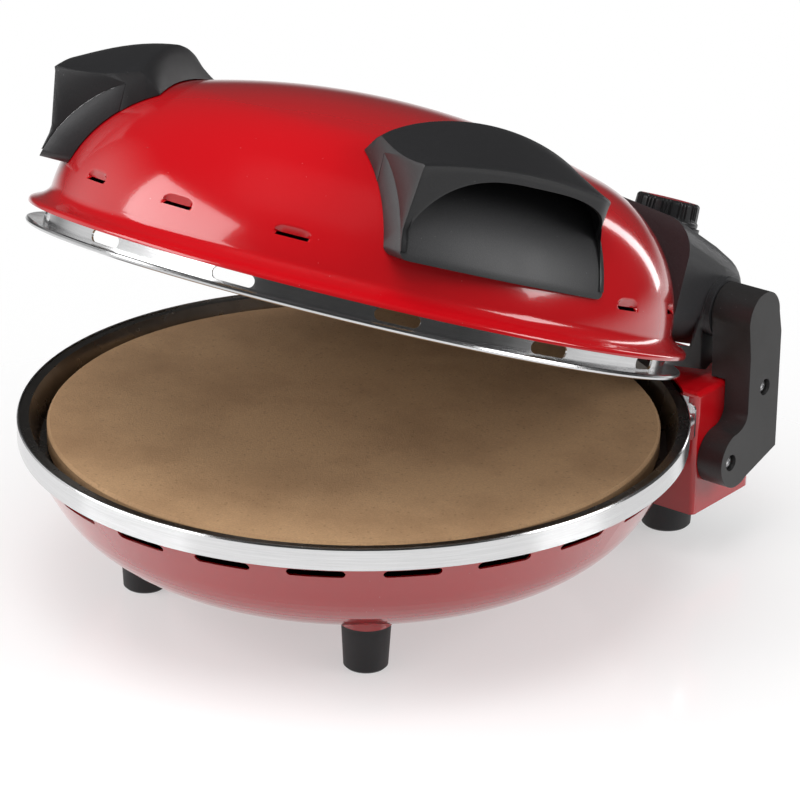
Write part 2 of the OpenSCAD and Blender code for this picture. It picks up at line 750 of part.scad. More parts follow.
// Place along the handle as -1 at the front end, 0 in the middle and 1 at the rear end
function along(t) = (t - handle_mid) / handle_half;
function swell(t) = max(0, 1 - pow(along(t), 2));
function over_dome(u, t) = dome_z(norm([u, t])) + dome_seat;
function panel_u(t, z) = dome_r(z) + panel_t - panel_taper * pow(along(t), 2);
function panel_in(t) = foot_u + 5 + 14 * pow(along(t), 2);
function panel_top(t) = dome_z(panel_in(t) - panel_t + panel_taper * pow(along(t), 2));
function panel_step(t, k) = arch_foot_z + (panel_top(t) - arch_foot_z) * k / 5;
function arch_z(t) = arch_foot_z - 4 + arch_rise * pow(max(0, 1 - pow(along(t), 4)), 1 / 3);
function rear_round(t) = 12 * pow(max(0, (along(t) - 0.72) / 0.23), 2);
function edge_u(t) = leaf_u + 3 * swell(t) - rear_round(t);
function edge_z(t) = leaf_z + 6 * swell(t);
function ridge_z(t) = leaf_z + 7 + 17 * pow(swell(t), 0.8);
function wall_u(t, z) = max(edge_u(t) - wall_lean * (edge_z(t) - z), panel_u(t, z) + 0.8);
function leaf_top(t, f) = [
    edge_u(t) + (ridge_u - edge_u(t)) * f,
    edge_z(t) + (ridge_z(t) - edge_z(t)) * f + 4 * (3 - 5.4 * pow(along(t), 2)) * f * (1 - f)];

function hood_outside(t, low_z) = concat(
    [for (k = [0 : 4]) let (z = low_z + (edge_z(t) - 3 - low_z) * k / 4) [wall_u(t, z), z]],
    [[edge_u(t) + 0.3, edge_z(t) - 1]],
    [for (f = [0.03, 0.15, 0.35, 0.55, 0.75, 0.9, 1]) leaf_top(t, f)],
    [[ridge_u - 2.5, ridge_z(t) - 0.7],
     [ridge_u - 5.5, ridge_z(t) - 2 - 2.5 * swell(t)],
     [foot_u, over_dome(foot_u, t)]]);
function hood_heel(t) = [
    for (f = [0.35, 0.7]) let (u = foot_u + (panel_in(t) - foot_u) * f) [u, over_dome(u, t)],
    [panel_in(t) - seat_gap, over_dome(panel_in(t), t)],
    [panel_in(t) - seat_gap, panel_top(t) + seat_gap]];
function hood_hollow(t) = concat(
    hood_heel(t),
    [[panel_in(t) + 4, ridge_z(t) - 8]],
    [for (f = [0.7, 0.45, 0.2]) leaf_top(t, f) - [0, hood_wall + 1]],
    [[edge_u(t) - hood_wall - 1, edge_z(t) - 5.5],
     [max(wall_u(t, arch_z(t)) - hood_wall, panel_u(t, arch_z(t)) + seat_gap), arch_z(t)]]);
function hood_closed(t) = concat(
    hood_heel(t),
    [for (k = [5 : -1 : 0]) let (z = panel_step(t, k)) [panel_u(t, z) + seat_gap, z]]);
function hood_section(t, open) = concat(
    hood_outside(t, open ? arch_z(t) : arch_foot_z), open ? hood_hollow(t) : hood_closed(t));
function panel_section(t) = concat(
    [for (z = [panel_foot_z, arch_foot_z]) [panel_u(t, z), z]],
    [for (k = [1 : 5]) let (z = panel_step(t, k)) [max(panel_in(t), panel_u(t, z)), z]],
    [for (k = [8 : -1 : 0]) let (
            top = over_dome(panel_in(t), t),
            z = panel_foot_z + (top - panel_foot_z) * k / 8,
            r = dome_r(z - dome_seat * (k / 8)) + dome_seat * (1 - k / 8))
        [max(panel_in(t), sqrt(pow(r, 2) - pow(t, 2))), z]]);

// Triangles that fill a section, as indices of its points, cut off one corner at a time
function bend(a, b, c) = (b[0] - a[0]) * (c[1] - a[1]) - (b[1] - a[1]) * (c[0] - a[0]);
function covers(a, b, c, p) = bend(a, b, p) > -1e-7 && bend(b, c, p) > -1e-7 && bend(c, a, p) > -1e-7;
function free_corner(s, left, i) =
    let (n = len(left), a = left[(i + n - 1) % n], b = left[i], c = left[(i + 1) % n])
    bend(s[a], s[b], s[c]) > 1e-4
    && len([for (q = left) if (q != a && q != b && q != c && covers(s[a], s[b], s[c], s[q])) q]) == 0;
function fill(s, left) = len(left) < 3 ? [] :
    let (n = len(left), i = [for (k = [0 : n - 1]) if (free_corner(s, left, k)) k][0])
    concat([[left[(i + n - 1) % n], left[i], left[(i + 1) % n]]],
        fill(s, [for (k = [0 : n - 1]) if (k != i) left[k]]));

// A solid through sections that all have the same number of points
module loft(sections, places) {
    n = len(sections[0]);
    last = len(sections) - 1;
    points = [for (i = [0 : last]) for (p = sections[i]) [p[0], places[i], p[1]]];
    sides = [for (i = [0 : last - 1]) for (j = [0 : n - 1])
        let (k = (j + 1) % n, a = i * n + j, b = i * n + k)
        each [[a, b, b + n], [a, b + n, a + n]]];
    all = [for (j = [0 : n - 1]) j];
    front_cap = [for (f = fill(sections[0], all)) [f[2], f[1], f[0]]];
    rear_cap = [for (f = fill(sections[last], all)) [for (j = f) last * n + j]];
    polyhedron(points, concat(sides, front_cap, rear_cap));
}

// Both pieces of a handle have their sections at the same places, so that they stay side by side
handle_places = concat(
    [front_end, front_end + hood_wall, front_end + hood_wall + end_step],
    [for (k = [1 : 13]) handle_mid - (handle_half - hood_wall - end_step) * cos(180 * k / 14)],
    [rear_end - hood_wall - end_step, rear_end - hood_wall, rear_end]);
function hood_open(i) = i > 1 && i < len(handle_places) - 2;

module handle_hood() rotate([0, 0, -handle_turn])
    loft([for (i = [0 : len(handle_places) - 1]) hood_section(handle_places[i], hood_open(i))],
        handle_places);

module handle_panel() rotate([0, 0, -handle_turn])
    loft([for (t = handle_places) panel_section(t)], handle_places);

module handle_left() color(black) in_lid() left_side() handle_hood();

module handle_right() color(black) in_lid() handle_hood();

module handle_panel_left() color(dark) in_lid() left_side() handle_panel();

module handle_panel_right() color(dark) in_lid() handle_panel();

// ---- Rear housing, thermostat and knob ----

module housing_form(inset, sides) {
    hull() both_sides() for (c = housing_corners) translate(c) sphere(r = ball - inset, $fn = sides);
}

module housing_shell() {
    difference() {
        intersection() {
            housing_form(0, 36);
            behind(dome_cut_y);
        }
        intersection() {
            housing_form(housing_wall, 28);
            behind(dome_cut_y + housing_wall);
        }
        intersection() {
            dome_solid(dome_wall);
            box([-lip_r, dome_cut_y - cut, 0], [lip_r, dome_cut_y + housing_wall + cut, lip_r]);
        }
    }
}

module rear_housing() color(dark) in_lid() difference() {
    union() {
        intersection() {
            housing_shell();
            box([-2 * lip_r, 0, housing_split_z], [2 * lip_r, 2 * lip_r, 2 * lip_r]);
        }
        translate([knob_x, knob_y, thermostat_top]) cylinder(h = boss_top - thermostat_top, r = boss_r);
        intersection() {
            housing_form(0, 36);
            translate([knob_x, knob_y, thermostat_top]) cylinder(h = lip_r, r = boss_r + housing_wall);
        }
    }
    translate([knob_x, knob_y, 0]) cylinder(h = boss_top + cut, r = shaft_r + shaft_gap);
    translate([knob_x, knob_y, boss_top]) cylinder(h = lip_r, r = knob_r + well_gap);
    both_sides() translate([0, pivot_y, hinge_z]) rod_x(side_x, housing_w, neck_r + seat_gap);
}

module housing_bottom_cover() color(dark) in_lid() difference() {
    intersection() {
        housing_shell();
        box([-2 * lip_r, 0, 0], [2 * lip_r, 2 * lip_r, housing_split_z - seat_gap]);
    }
    translate([0, 0, -cut]) cylinder(h = upper_dish_top_z, r = band_wall_r + part_gap);
}

module lid_terminal_block() color("#e4dfd0") in_lid() difference() {
    box([-block_w / 2, lid_block_front, band_h - 1 + housing_wall + 4 * seat_gap],
        [block_w / 2, lid_block_front + lid_block_t, upper_heater_z + block_h / 2]);
    for (x = [-2 * leg_x, 0, 2 * leg_x] / 3)
        translate([x, 0, upper_heater_z + block_h / 4])
            rod_y(lid_block_front - cut, lid_block_front + 5, block_screw_r);
}

module thermostat() color("#8d8f92") in_lid() translate([knob_x, knob_y, 0]) difference() {
    translate([0, 0, thermostat_base])
        cylinder(h = thermostat_top - seat_gap - thermostat_base, r = thermostat_r);
    translate([0, 0, shaft_foot - 1]) cylinder(h = thermostat_top, r = shaft_r + shaft_gap);
}

module knob_shaft() color(steel) in_lid() translate([knob_x, knob_y, shaft_foot])
    cylinder(h = shaft_top - shaft_foot, r = shaft_r);

// A skirted knob with groups of three upright grooves
module control_knob() color(black) in_lid() translate([knob_x, knob_y, boss_top + part_gap]) difference() {
    rotate_extrude() polygon([[0, 0], [knob_r, 0], [knob_r, 2.2], [knob_r - 0.8, 3],
        [knob_r - 1.2, knob_h - 1.5], [knob_r - 2.7, knob_h], [0, knob_h]]);
    for (g = [0 : knob_groups - 1])
        for (k = [-1 : 1])
            rotate([0, 0, g * 360 / knob_groups + k * 7])
                translate([knob_r - 0.5, 0, 3]) cylinder(h = knob_h, r = 0.9, $fn = 16);
    translate([0, 0, -cut]) cylinder(h = shaft_top - boss_top - part_gap + cut, r = shaft_r);
    translate([0, 0, knob_h - 0.8]) difference() {
        cylinder(h = 2, r = dial_outer_r);
        cylinder(h = 2, r = dial_inner_r);
    }
}

module knob_dial() color(red) in_lid() translate([knob_x, knob_y, boss_top + part_gap + knob_h - 0.8])
    difference() {
        cylinder(h = 1, r = dial_outer_r);
        translate([0, 0, -cut]) cylinder(h = 4, r = dial_inner_r);
    }

base_shell();
tower_bottom_cover();
rim_band();
rim_band_screws();
lower_reflector();
baking_stone();
lower_heater();
lower_heater_clips();
base_terminal_block();
cord_gland();
front_foot_left();
front_foot_right();
rear_foot_left();
rear_foot_right();
foot_screws();
arm_left();
arm_right();
arm_screws_left();
arm_screws_right();
hinge_pin_left();
hinge_pin_right();
lid_dome();
lid_band();
upper_reflector();
upper_heater();
upper_heater_clips();
hinge_barrel_left();
hinge_barrel_right();
handle_left();
handle_right();
handle_panel_left();
handle_panel_right();
rear_housing();
housing_bottom_cover();
lid_terminal_block();
thermostat();
control_knob();
knob_shaft();
knob_dial();
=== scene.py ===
"""Countertop pizza oven: finishes, detail pieces and a studio round the fixed CAD frame.

The frame is loaded first. Shape values repeat the part's own sizes in millimetres. Base pieces are
built in the table's frame, and lid pieces in the frame of the shut lid, whose floor is the underside
of its steel band. LID swings those open about the hinge line.
"""

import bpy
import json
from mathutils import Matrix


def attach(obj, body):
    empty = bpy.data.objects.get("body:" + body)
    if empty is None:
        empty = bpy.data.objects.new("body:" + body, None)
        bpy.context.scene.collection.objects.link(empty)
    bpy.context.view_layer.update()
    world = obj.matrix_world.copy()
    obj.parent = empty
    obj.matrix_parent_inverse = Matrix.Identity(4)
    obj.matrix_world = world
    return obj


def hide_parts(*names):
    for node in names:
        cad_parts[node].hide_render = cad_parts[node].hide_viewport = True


bl_info = {
    "name": "Countertop Pizza Oven",
    "version": (1, 0, 0),
    "blender": (4, 5, 0),
    "location": "3D View > Sidebar > Pizza Oven",
    "description": "Builds the surfaces, trim and studio of an electric pizza oven",
    "category": "Object",
}

import json
import math

import bmesh
import bpy
from bpy.props import FloatProperty, FloatVectorProperty, IntProperty, PointerProperty
from mathutils import Matrix, Vector

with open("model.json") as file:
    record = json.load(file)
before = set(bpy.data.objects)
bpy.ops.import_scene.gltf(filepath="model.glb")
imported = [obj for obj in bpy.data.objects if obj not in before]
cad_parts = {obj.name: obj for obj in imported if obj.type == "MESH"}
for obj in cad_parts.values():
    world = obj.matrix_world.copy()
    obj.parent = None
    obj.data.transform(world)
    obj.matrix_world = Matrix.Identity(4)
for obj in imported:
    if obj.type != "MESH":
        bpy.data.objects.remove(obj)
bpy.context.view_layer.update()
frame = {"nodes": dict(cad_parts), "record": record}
NODES = frame["nodes"]

# ---- Shape values, in millimetres, as the part has them ----

MID_Y = 12.92582
PIVOT_Y, PIVOT_Z = 171.04, 135.0
LID_OPEN = math.radians(21.2)
RIM_TOP = 97.0
FOOT_H = 26.0
LID_Z = RIM_TOP + 0.5
BAND_H = 13.0
LIP_R = 179.0
SHOULDER_R, CROWN_R, DOME_WALL = 77.0, 400.0, 1.2
DOME_CUT_Y = 127.04
KNOB_X, KNOB_Y = 73.0, PIVOT_Y - 1.0
KNOB_R, KNOB_H, BOSS_TOP, KNOB_GAP = 19.0, 13.0, 74.0, 0.5
ARM_OUTER_X = 150.0
ARM_SCREWS = [(PIVOT_Y + 3.7, 93.4), (PIVOT_Y - 27.3, FOOT_H + 32.2)]

MM = 0.001
TABLE = Matrix.Scale(MM, 4) @ Matrix.Translation((0, -MID_Y, 0))
LID = (
    TABLE
    @ Matrix.Translation((0, PIVOT_Y, PIVOT_Z))
    @ Matrix.Rotation(-LID_OPEN, 4, "X")
    @ Matrix.Translation((0, -PIVOT_Y, LID_Z - PIVOT_Z))
)


# ---- Settings ----


def color_prop(name, text, value):
    return FloatVectorProperty(
        name=name, description=text, subtype="COLOR", size=3, min=0.0, max=1.0, default=value
    )


def length_prop(name, text, millimetres):
    return FloatProperty(
        name=name, description=text, subtype="DISTANCE", unit="LENGTH",
        default=millimetres * MM, precision=5,
    )


def factor_prop(name, text, value):
    return FloatProperty(
        name=name, description=text, subtype="FACTOR", min=0.0, max=1.0, default=value
    )


def power_prop(name, text, watts):
    return FloatProperty(name=name, description=text, subtype="POWER", unit="POWER", default=watts)


class OvenPaint(bpy.types.PropertyGroup):
    """The glossy enamel of the bowl, the tower and the dome"""

    color: color_prop("Enamel", "Colour of the baked enamel", (0.50, 0.0035, 0.0075))
    peel: factor_prop("Orange peel", "Strength of the fine waviness in the enamel", 0.05)


class OvenMetal(bpy.types.PropertyGroup):
    """The stainless bands, reflectors and fasteners"""

    steel: color_prop("Steel", "Colour of the polished stainless bands", (0.72, 0.72, 0.725))
    dish: color_prop("Dark dish", "Colour of the heat-darkened lower reflector", (0.27, 0.25, 0.23))
    brush: factor_prop("Brushing", "Strength of the fine lines round the bands", 0.25)


class OvenPlastic(bpy.types.PropertyGroup):
    """The black mouldings"""

    handle: color_prop("Handle", "Colour of the handles' hoods", (0.017, 0.017, 0.018))
    housing: color_prop("Housing", "Colour of the rear housing", (0.028, 0.028, 0.030))
    arm: color_prop("Arm", "Colour of the hinge arms", (0.023, 0.022, 0.022))
    grain: length_prop("Grain", "Size of the moulded grain", 0.55)


class OvenStone(bpy.types.PropertyGroup):
    """The baking stone"""

    color: color_prop("Stone", "Colour of the fired stone", (0.47, 0.29, 0.155))
    scorch: factor_prop("Scorch", "How dark the stone's baked patches are", 0.45)


class OvenVents(bpy.types.PropertyGroup):
    """The pressed vents in the dome"""

    width: length_prop("Width", "Length of one pressed slit", 19.5)
    height: length_prop("Height", "Height of the pressed tongue above its slit", 5.6)
    depth: length_prop("Depth", "How far the tongue is pressed in at its slit", 3.0)


class OvenKnob(bpy.types.PropertyGroup):
    """The control knob"""

    groups: IntProperty(name="Grooves", description="Groups of three grooves", default=12, min=4, max=24)
    numbers: IntProperty(name="Numbers", description="Heat settings on the dial", default=5, min=2, max=9)


class OvenStage(bpy.types.PropertyGroup):
    """The studio"""

    key: power_prop("Key", "Power of the front softbox", 14.0)
    fill: power_prop("Fill", "Power that the side panels share out", 10.0)
    sky: factor_prop("Sky", "Strength of the studio's surrounding light", 0.42)


class OvenSettings(bpy.types.PropertyGroup):
    """Everything that a user would change on the oven"""

    paint: PointerProperty(type=OvenPaint)
    metal: PointerProperty(type=OvenMetal)
    plastic: PointerProperty(type=OvenPlastic)
    stone: PointerProperty(type=OvenStone)
    vents: PointerProperty(type=OvenVents)
    knob: PointerProperty(type=OvenKnob)
    stage: PointerProperty(type=OvenStage)


def settings():
    return bpy.context.scene.pizza_oven


# ---- Mesh helpers ----


def mesh_piece(name, verts, faces, place, material, angle=35.0):
    """A new mesh object whose place is in its mesh, while the object stays at the origin."""
    mesh = bpy.data.meshes.new(name)
    mesh.from_pydata([tuple(v) for v in verts], [], [tuple(f) for f in faces])
    mesh.transform(place)
    mesh.validate()
    return adopt(name, mesh, material, angle)


def placed(name, data):
    """A new object in the scene."""
    thing = bpy.data.objects.new(name, data)
    bpy.context.scene.collection.objects.link(thing)
    return thing


def adopt(name, mesh, material, angle=35.0):
    """Puts a finished mesh in the scene under a name, shaded smooth between its sharp edges."""
    mesh.name = name
    mesh.materials.clear()
    mesh.materials.append(material)
    return shade_smooth(placed(name, mesh), angle)


def shade_smooth(piece, angle):
    """Shades a piece smooth, with sharp edges where its faces meet at more than the angle."""
    piece.data.shade_smooth()
    piece.data.set_sharp_from_angle(angle=math.radians(angle))
    return piece


def seat(piece, body, slot, *nodes):
    """Lets a finished piece ride on its body and stand in for its CAD nodes."""
    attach(piece, body)
    if nodes:
        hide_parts(*nodes)
    return piece


def applied(piece):
    """A new mesh of a piece with its modifiers applied."""
    bpy.context.view_layer.update()
    return bpy.data.meshes.new_from_object(piece.evaluated_get(bpy.context.evaluated_depsgraph_get()))


def settle(piece):
    """Applies every modifier of a piece and leaves a plain mesh at the origin."""
    mesh, old = applied(piece), piece.data
    piece.modifiers.clear()
    piece.data = mesh
    mesh.name = piece.name
    bpy.data.meshes.remove(old)
    return piece


def merged_copy(node, name, material, angle=30.0):
    """A welded copy of a CAD node, whose loose triangles stay as they are."""
    work = bmesh.new()
    work.from_mesh(NODES[node].data)
    bmesh.ops.remove_doubles(work, verts=work.verts, dist=0.00002)
    bmesh.ops.dissolve_degenerate(work, edges=work.edges, dist=0.00001)
    mesh = bpy.data.meshes.new(name)
    work.to_mesh(mesh)
    work.free()
    return adopt(name, mesh, material, angle)


def spin_grid(profile, turns):
    """Vertices and faces of a profile [(radius, height)] turned to each angle in turns.

    The profile's last point is the pole. Angle 0 faces the front and grows towards +X.
    """
    verts, faces = [], []
    rows = len(profile) - 1
    for t in turns:
        for r, z in profile[:rows]:
            verts.append((r * math.sin(t), -r * math.cos(t), z))
    columns = len(turns)
    pole = len(verts)
    verts.append((0.0, 0.0, profile[-1][1]))
    for c in range(columns):
        d = (c + 1) % columns
        for k in range(rows - 1):
            faces.append((c * rows + k, d * rows + k, d * rows + k + 1, c * rows + k + 1))
    for c in range(columns):
        d = (c + 1) % columns
        faces.append((c * rows + rows - 1, d * rows + rows - 1, pole))
    return verts, faces


def face_outwards(mesh):
    """Welds a closed mesh and turns its faces outwards."""
    work = bmesh.new()
    work.from_mesh(mesh)
    bmesh.ops.remove_doubles(work, verts=work.verts, dist=0.000005)
    bmesh.ops.recalc_face_normals(work, faces=work.faces)
    work.to_mesh(mesh)
    work.free()


# ---- Node helpers ----


def wire(tree, node_type, links=(), **values):
    """Adds a node, sets its own properties, then links or fills its inputs: (input, source)."""
    node = tree.nodes.new(node_type)
    for key, value in values.items():
        setattr(node, key, value)
    for key, source in links:
        if isinstance(source, bpy.types.NodeSocket):
            tree.links.new(source, node.inputs[key])
        else:
            node.inputs[key].default_value = source
    return node


def calc(tree, operation, *values):
    """The output of a math node."""
    return wire(tree, "ShaderNodeMath", enumerate(values), operation=operation).outputs[0]


def joined(tree, **axes):
    """The vector of the given X, Y and Z."""
    return wire(tree, "ShaderNodeCombineXYZ", axes.items()).outputs[0]


def ranged(tree, value, span, result=(0.0, 1.0), curve="LINEAR"):
    """A value's share of a span, turned into a share of the result."""
    names = ("Value", "From Min", "From Max", "To Min", "To Max")
    links = zip(names, (value, *span, *result))
    return wire(tree, "ShaderNodeMapRange", links, interpolation_type=curve).outputs["Result"]


def node_group(name, kind, inputs, outputs):
    """A node group with its sockets [(name, socket type, default)], and its inner ends."""
    tree = bpy.data.node_groups.new(name, kind)
    for label, socket_type, value in inputs:
        socket = tree.interface.new_socket(label, in_out="INPUT", socket_type=socket_type)
        if value is not None:
            socket.default_value = value
    for label, socket_type in outputs:
        tree.interface.new_socket(label, in_out="OUTPUT", socket_type=socket_type)
    return tree, tree.nodes.new("NodeGroupInput").outputs, tree.nodes.new("NodeGroupOutput").inputs


def grow(name, tree, seeds, place, values, material, angle=35.0):
    """Runs a tree on the seed points, makes its result a plain mesh and removes the modifier."""
    mesh = bpy.data.meshes.new(name)
    mesh.from_pydata([tuple(p) for p in seeds], [], [])
    piece = placed(name, mesh)
    modifier = piece.modifiers.new("Build", "NODES")
    modifier.node_group = tree
    names = {
        item.name: item.identifier
        for item in tree.interface.items_tree
        if item.item_type == "SOCKET" and item.in_out == "INPUT"
    }
    for label, value in values.items():
        modifier[names[label]] = value
    modifier[names["Material"]] = material
    settle(piece)
    piece.data.transform(place)
    shade_smooth(piece, angle)
    if not piece.data.polygons:
        raise RuntimeError(f"{name} came out empty")
    return piece


# ---- Shader node groups: colours, masks, values and normals only ----

VECTOR, FLOAT = "NodeSocketVector", "NodeSocketFloat"


def shader_group(name):
    """Makes a function that fills in a node group into one that builds the group once."""
    return lambda build: lambda: bpy.data.node_groups.get(name) or build(name)


@shader_group("Moulded Grain")
def moulded_grain(name):
    """The fine pebbled texture of a moulding: a height, and a mask of its high spots, where a moulding's
    colour is painted paler as a painted highlight.
    """
    g, ins, outs = node_group(name, "ShaderNodeTree", [("Vector", VECTOR, None), ("Scale", FLOAT, 1500.0)],
                              [("Height", FLOAT), ("Painted Highlights", FLOAT)])
    where = [("Vector", ins["Vector"]), ("Scale", ins["Scale"])]
    cells = wire(g, "ShaderNodeTexVoronoi", where, feature="SMOOTH_F1")
    cells.inputs["Smoothness"].default_value = 0.6
    noise = wire(g, "ShaderNodeTexNoise", where + [("Detail", 3.0)])
    height = calc(g, "ADD", cells.outputs["Distance"], noise.outputs["Fac"])
    g.links.new(height, outs["Height"])
    g.links.new(ranged(g, height, (0.75, 1.15)), outs["Painted Highlights"])
    return g


@shader_group("Handling Dust")
def handling_dust(name):
    """Faint smudges and a few specks of dust: a soft mask and a sharp one."""
    inputs = [("Vector", VECTOR, None), ("Smudge Scale", FLOAT, 18.0), ("Speck Scale", FLOAT, 260.0),
              ("Speck Size", FLOAT, 0.07)]
    g, ins, outs = node_group(name, "ShaderNodeTree", inputs, [("Smudge", FLOAT), ("Specks", FLOAT)])
    cloud = wire(g, "ShaderNodeTexNoise", [("Vector", ins["Vector"]), ("Scale", ins["Smudge Scale"]),
                                           ("Detail", 6.0), ("Roughness", 0.62)])
    cells = wire(g, "ShaderNodeTexVoronoi", [("Vector", ins["Vector"]), ("Scale", ins["Speck Scale"])])
    near = calc(g, "LESS_THAN", cells.outputs["Distance"], ins["Speck Size"])
    pick = wire(g, "ShaderNodeSeparateColor", [("Color", cells.outputs["Color"])])
    rare = calc(g, "GREATER_THAN", pick.outputs["Red"], 0.8)
    g.links.new(ranged(g, cloud.outputs["Fac"], (0.42, 0.72)), outs["Smudge"])
    g.links.new(calc(g, "MULTIPLY", near, rare), outs["Specks"])
    return g


@shader_group("Ring Brushing")
def ring_brushing(name):
    """Fine lines that run round an upright axis through the vector's origin."""
    g, ins, outs = node_group(name, "ShaderNodeTree", [("Vector", VECTOR, None), ("Scale", FLOAT, 2600.0)],
                              [("Lines", FLOAT)])
    at = wire(g, "ShaderNodeSeparateXYZ", [("Vector", ins["Vector"])]).outputs
    flat = joined(g, X=at["X"], Y=at["Y"])
    radius = wire(g, "ShaderNodeVectorMath", [(0, flat)], operation="LENGTH").outputs["Value"]
    turn = calc(g, "ARCTAN2", at["Y"], at["X"])
    around = joined(g, X=radius, Y=calc(g, "MULTIPLY", turn, 0.004), Z=at["Z"])
    lines = wire(g, "ShaderNodeTexNoise", [("Vector", around), ("Scale", ins["Scale"]), ("Detail", 2.0)])
    g.links.new(lines.outputs["Fac"], outs["Lines"])
    return g


# ---- Materials ----


class Finish:
    """One material under construction: its shader, its coordinates and a few short cuts."""

    def __init__(self, name, place=None):
        self.material = bpy.data.materials.new(name)
        self.material.use_nodes = True
        self.tree = self.material.node_tree
        self.shader = self.tree.nodes["Principled BSDF"]
        coords = self.tree.nodes.new("ShaderNodeTexCoord").outputs["Object"]
        if place is not None:
            back = place.inverted()
            moved = [("Vector", coords), ("Location", [v * MM for v in back.to_translation()]),
                     ("Rotation", back.to_euler()), ("Scale", [s * MM for s in back.to_scale()])]
            coords = wire(self.tree, "ShaderNodeMapping", moved).outputs["Vector"]
        self.coords = coords

    def put(self, **values):
        """Sets or links the shader's inputs, named with _ for each space."""
        for key, value in values.items():
            socket = self.shader.inputs[key.replace("_", " ")]
            if isinstance(value, bpy.types.NodeSocket):
                self.tree.links.new(value, socket)
            else:
                socket.default_value = value

    def group(self, tree, **values):
        links = [("Vector", self.coords)] + [(key.replace("_", " "), value) for key, value in values.items()]
        return wire(self.tree, "ShaderNodeGroup", links, node_tree=tree).outputs

    def noise(self, scale, detail=3.0, roughness=0.5):
        links = [("Vector", self.coords), ("Scale", scale), ("Detail", detail), ("Roughness", roughness)]
        return wire(self.tree, "ShaderNodeTexNoise", links).outputs["Fac"]

    def span(self, value, low, high, to_low=0.0, to_high=1.0):
        return ranged(self.tree, value, (low, high), (to_low, to_high))

    def mix(self, factor, *colors):
        """The first colour where the factor is 0 and the second where it is 1."""
        a, b = [c if isinstance(c, bpy.types.NodeSocket) else (*c, 1.0) for c in colors]
        return wire(self.tree, "ShaderNodeMix", [(0, factor), (6, a), (7, b)], data_type="RGBA").outputs[2]

    def bumped(self, height, strength, distance):
        """The material, with its surface raised by a height."""
        links = [("Height", height), ("Strength", strength), ("Distance", distance)]
        self.put(Normal=wire(self.tree, "ShaderNodeBump", links).outputs["Normal"])
        return self.material


def shade(color, factor):
    return tuple(c * factor for c in color)


def enamel(name, place):
    p = settings().paint
    f = Finish(name, place)
    dust = f.group(handling_dust(), Smudge_Scale=9.0, Speck_Scale=300.0, Speck_Size=0.05)
    tone = f.mix(f.span(f.noise(5.0, 2.0), 0.3, 0.7), shade(p.color, 0.93), shade(p.color, 1.05))
    color = f.mix(dust["Specks"], tone, (0.62, 0.30, 0.30))
    f.put(Base_Color=color, Roughness=f.span(dust["Smudge"], 0.0, 1.0, 0.13, 0.18),
          Coat_Weight=0.6, Coat_Roughness=0.04, IOR=1.5)
    return f.bumped(f.noise(420.0, 2.0), p.peel, 0.0006)


def polished_steel(name, place):
    m = settings().metal
    f = Finish(name, place)
    lines = f.group(ring_brushing(), Scale=1500.0)["Lines"]
    dust = f.group(handling_dust(), Smudge_Scale=24.0, Speck_Scale=420.0, Speck_Size=0.05)
    color = f.mix(f.span(lines, 0.3, 0.7), shade(m.steel, 0.90), m.steel)
    f.put(Base_Color=color, Metallic=1.0, Roughness=f.span(dust["Smudge"], 0.0, 1.0, 0.15, 0.24))
    return f.bumped(lines, m.brush, 0.00005)


def reflector_sheet(name, color, place, rough):
    f = Finish(name, place)
    lines = f.group(ring_brushing(), Scale=900.0)["Lines"]
    stain = f.noise(26.0, 5.0, 0.6)
    tint = f.mix(f.span(stain, 0.45, 0.75, 0.0, 0.7), color, shade(color, 0.55))
    f.put(Base_Color=tint, Metallic=1.0, Roughness=f.span(stain, 0.3, 0.7, rough, rough + 0.14))
    return f.bumped(lines, 0.2, 0.00006)


def moulding(name, color, place, rough, relief=0.35):
    """Black moulded plastic: a fine grain whose high spots are painted paler and hollows darker (painted
    highlight and painted shade), smudges and a few specks.
    """
    size = settings().plastic.grain
    f = Finish(name, place)
    texture = f.group(moulded_grain(), Scale=1.0 / size)
    dust = f.group(handling_dust(), Smudge_Scale=20.0, Speck_Scale=330.0, Speck_Size=0.06)
    # The grain's high spots are painted paler and its hollows darker: painted highlight and painted shade.
    tone = f.mix(texture["Painted Highlights"], shade(color, 0.88), shade(color, 1.2))
    f.put(Base_Color=f.mix(dust["Specks"], tone, (0.16, 0.16, 0.165)),
          Roughness=f.span(dust["Smudge"], 0.0, 1.0, rough, rough + 0.07))
    return f.bumped(texture["Height"], relief, size * 0.16)


def fired_stone(name):
    s = settings().stone
    f = Finish(name, TABLE)
    patch = f.span(f.noise(13.0, 6.0, 0.62), 0.42, 0.72)
    grit = f.noise(900.0, 4.0, 0.7)
    spots = wire(f.tree, "ShaderNodeTexVoronoi", [("Vector", f.coords), ("Scale", 210.0)]).outputs["Distance"]
    # The stone's pits are painted as dark dots: painted shade in its small hollows.
    shaded_pits = f.span(spots, 0.05, 0.22, 1.0, 0.0)
    pale = f.mix(f.span(grit, 0.3, 0.7), shade(s.color, 0.84), shade(s.color, 1.14))
    baked = f.mix(f.span(patch, 0.0, 1.0, 0.0, s.scorch), pale, (0.16, 0.075, 0.032))
    f.put(Base_Color=f.mix(f.span(shaded_pits, 0.0, 1.0, 0.0, 0.35), baked, (0.10, 0.055, 0.03)),
          Roughness=f.span(grit, 0.3, 0.7, 0.72, 0.92), Specular_IOR_Level=0.35)
    return f.bumped(f.span(grit, 0.2, 0.8), 0.5, 0.0004)


def heater_steel(name, place):
    f = Finish(name, place)
    scale = f.noise(240.0, 5.0, 0.65)
    warm = f.noise(21.0, 3.0)
    color = f.mix(f.span(warm, 0.4, 0.65), (0.12, 0.105, 0.095), (0.20, 0.155, 0.115))
    f.put(Base_Color=f.mix(f.span(scale, 0.45, 0.7, 0.0, 0.6), color, (0.05, 0.045, 0.042)), Metallic=0.85,
          Roughness=f.span(scale, 0.3, 0.7, 0.38, 0.62))
    return f.bumped(scale, 0.35, 0.0002)


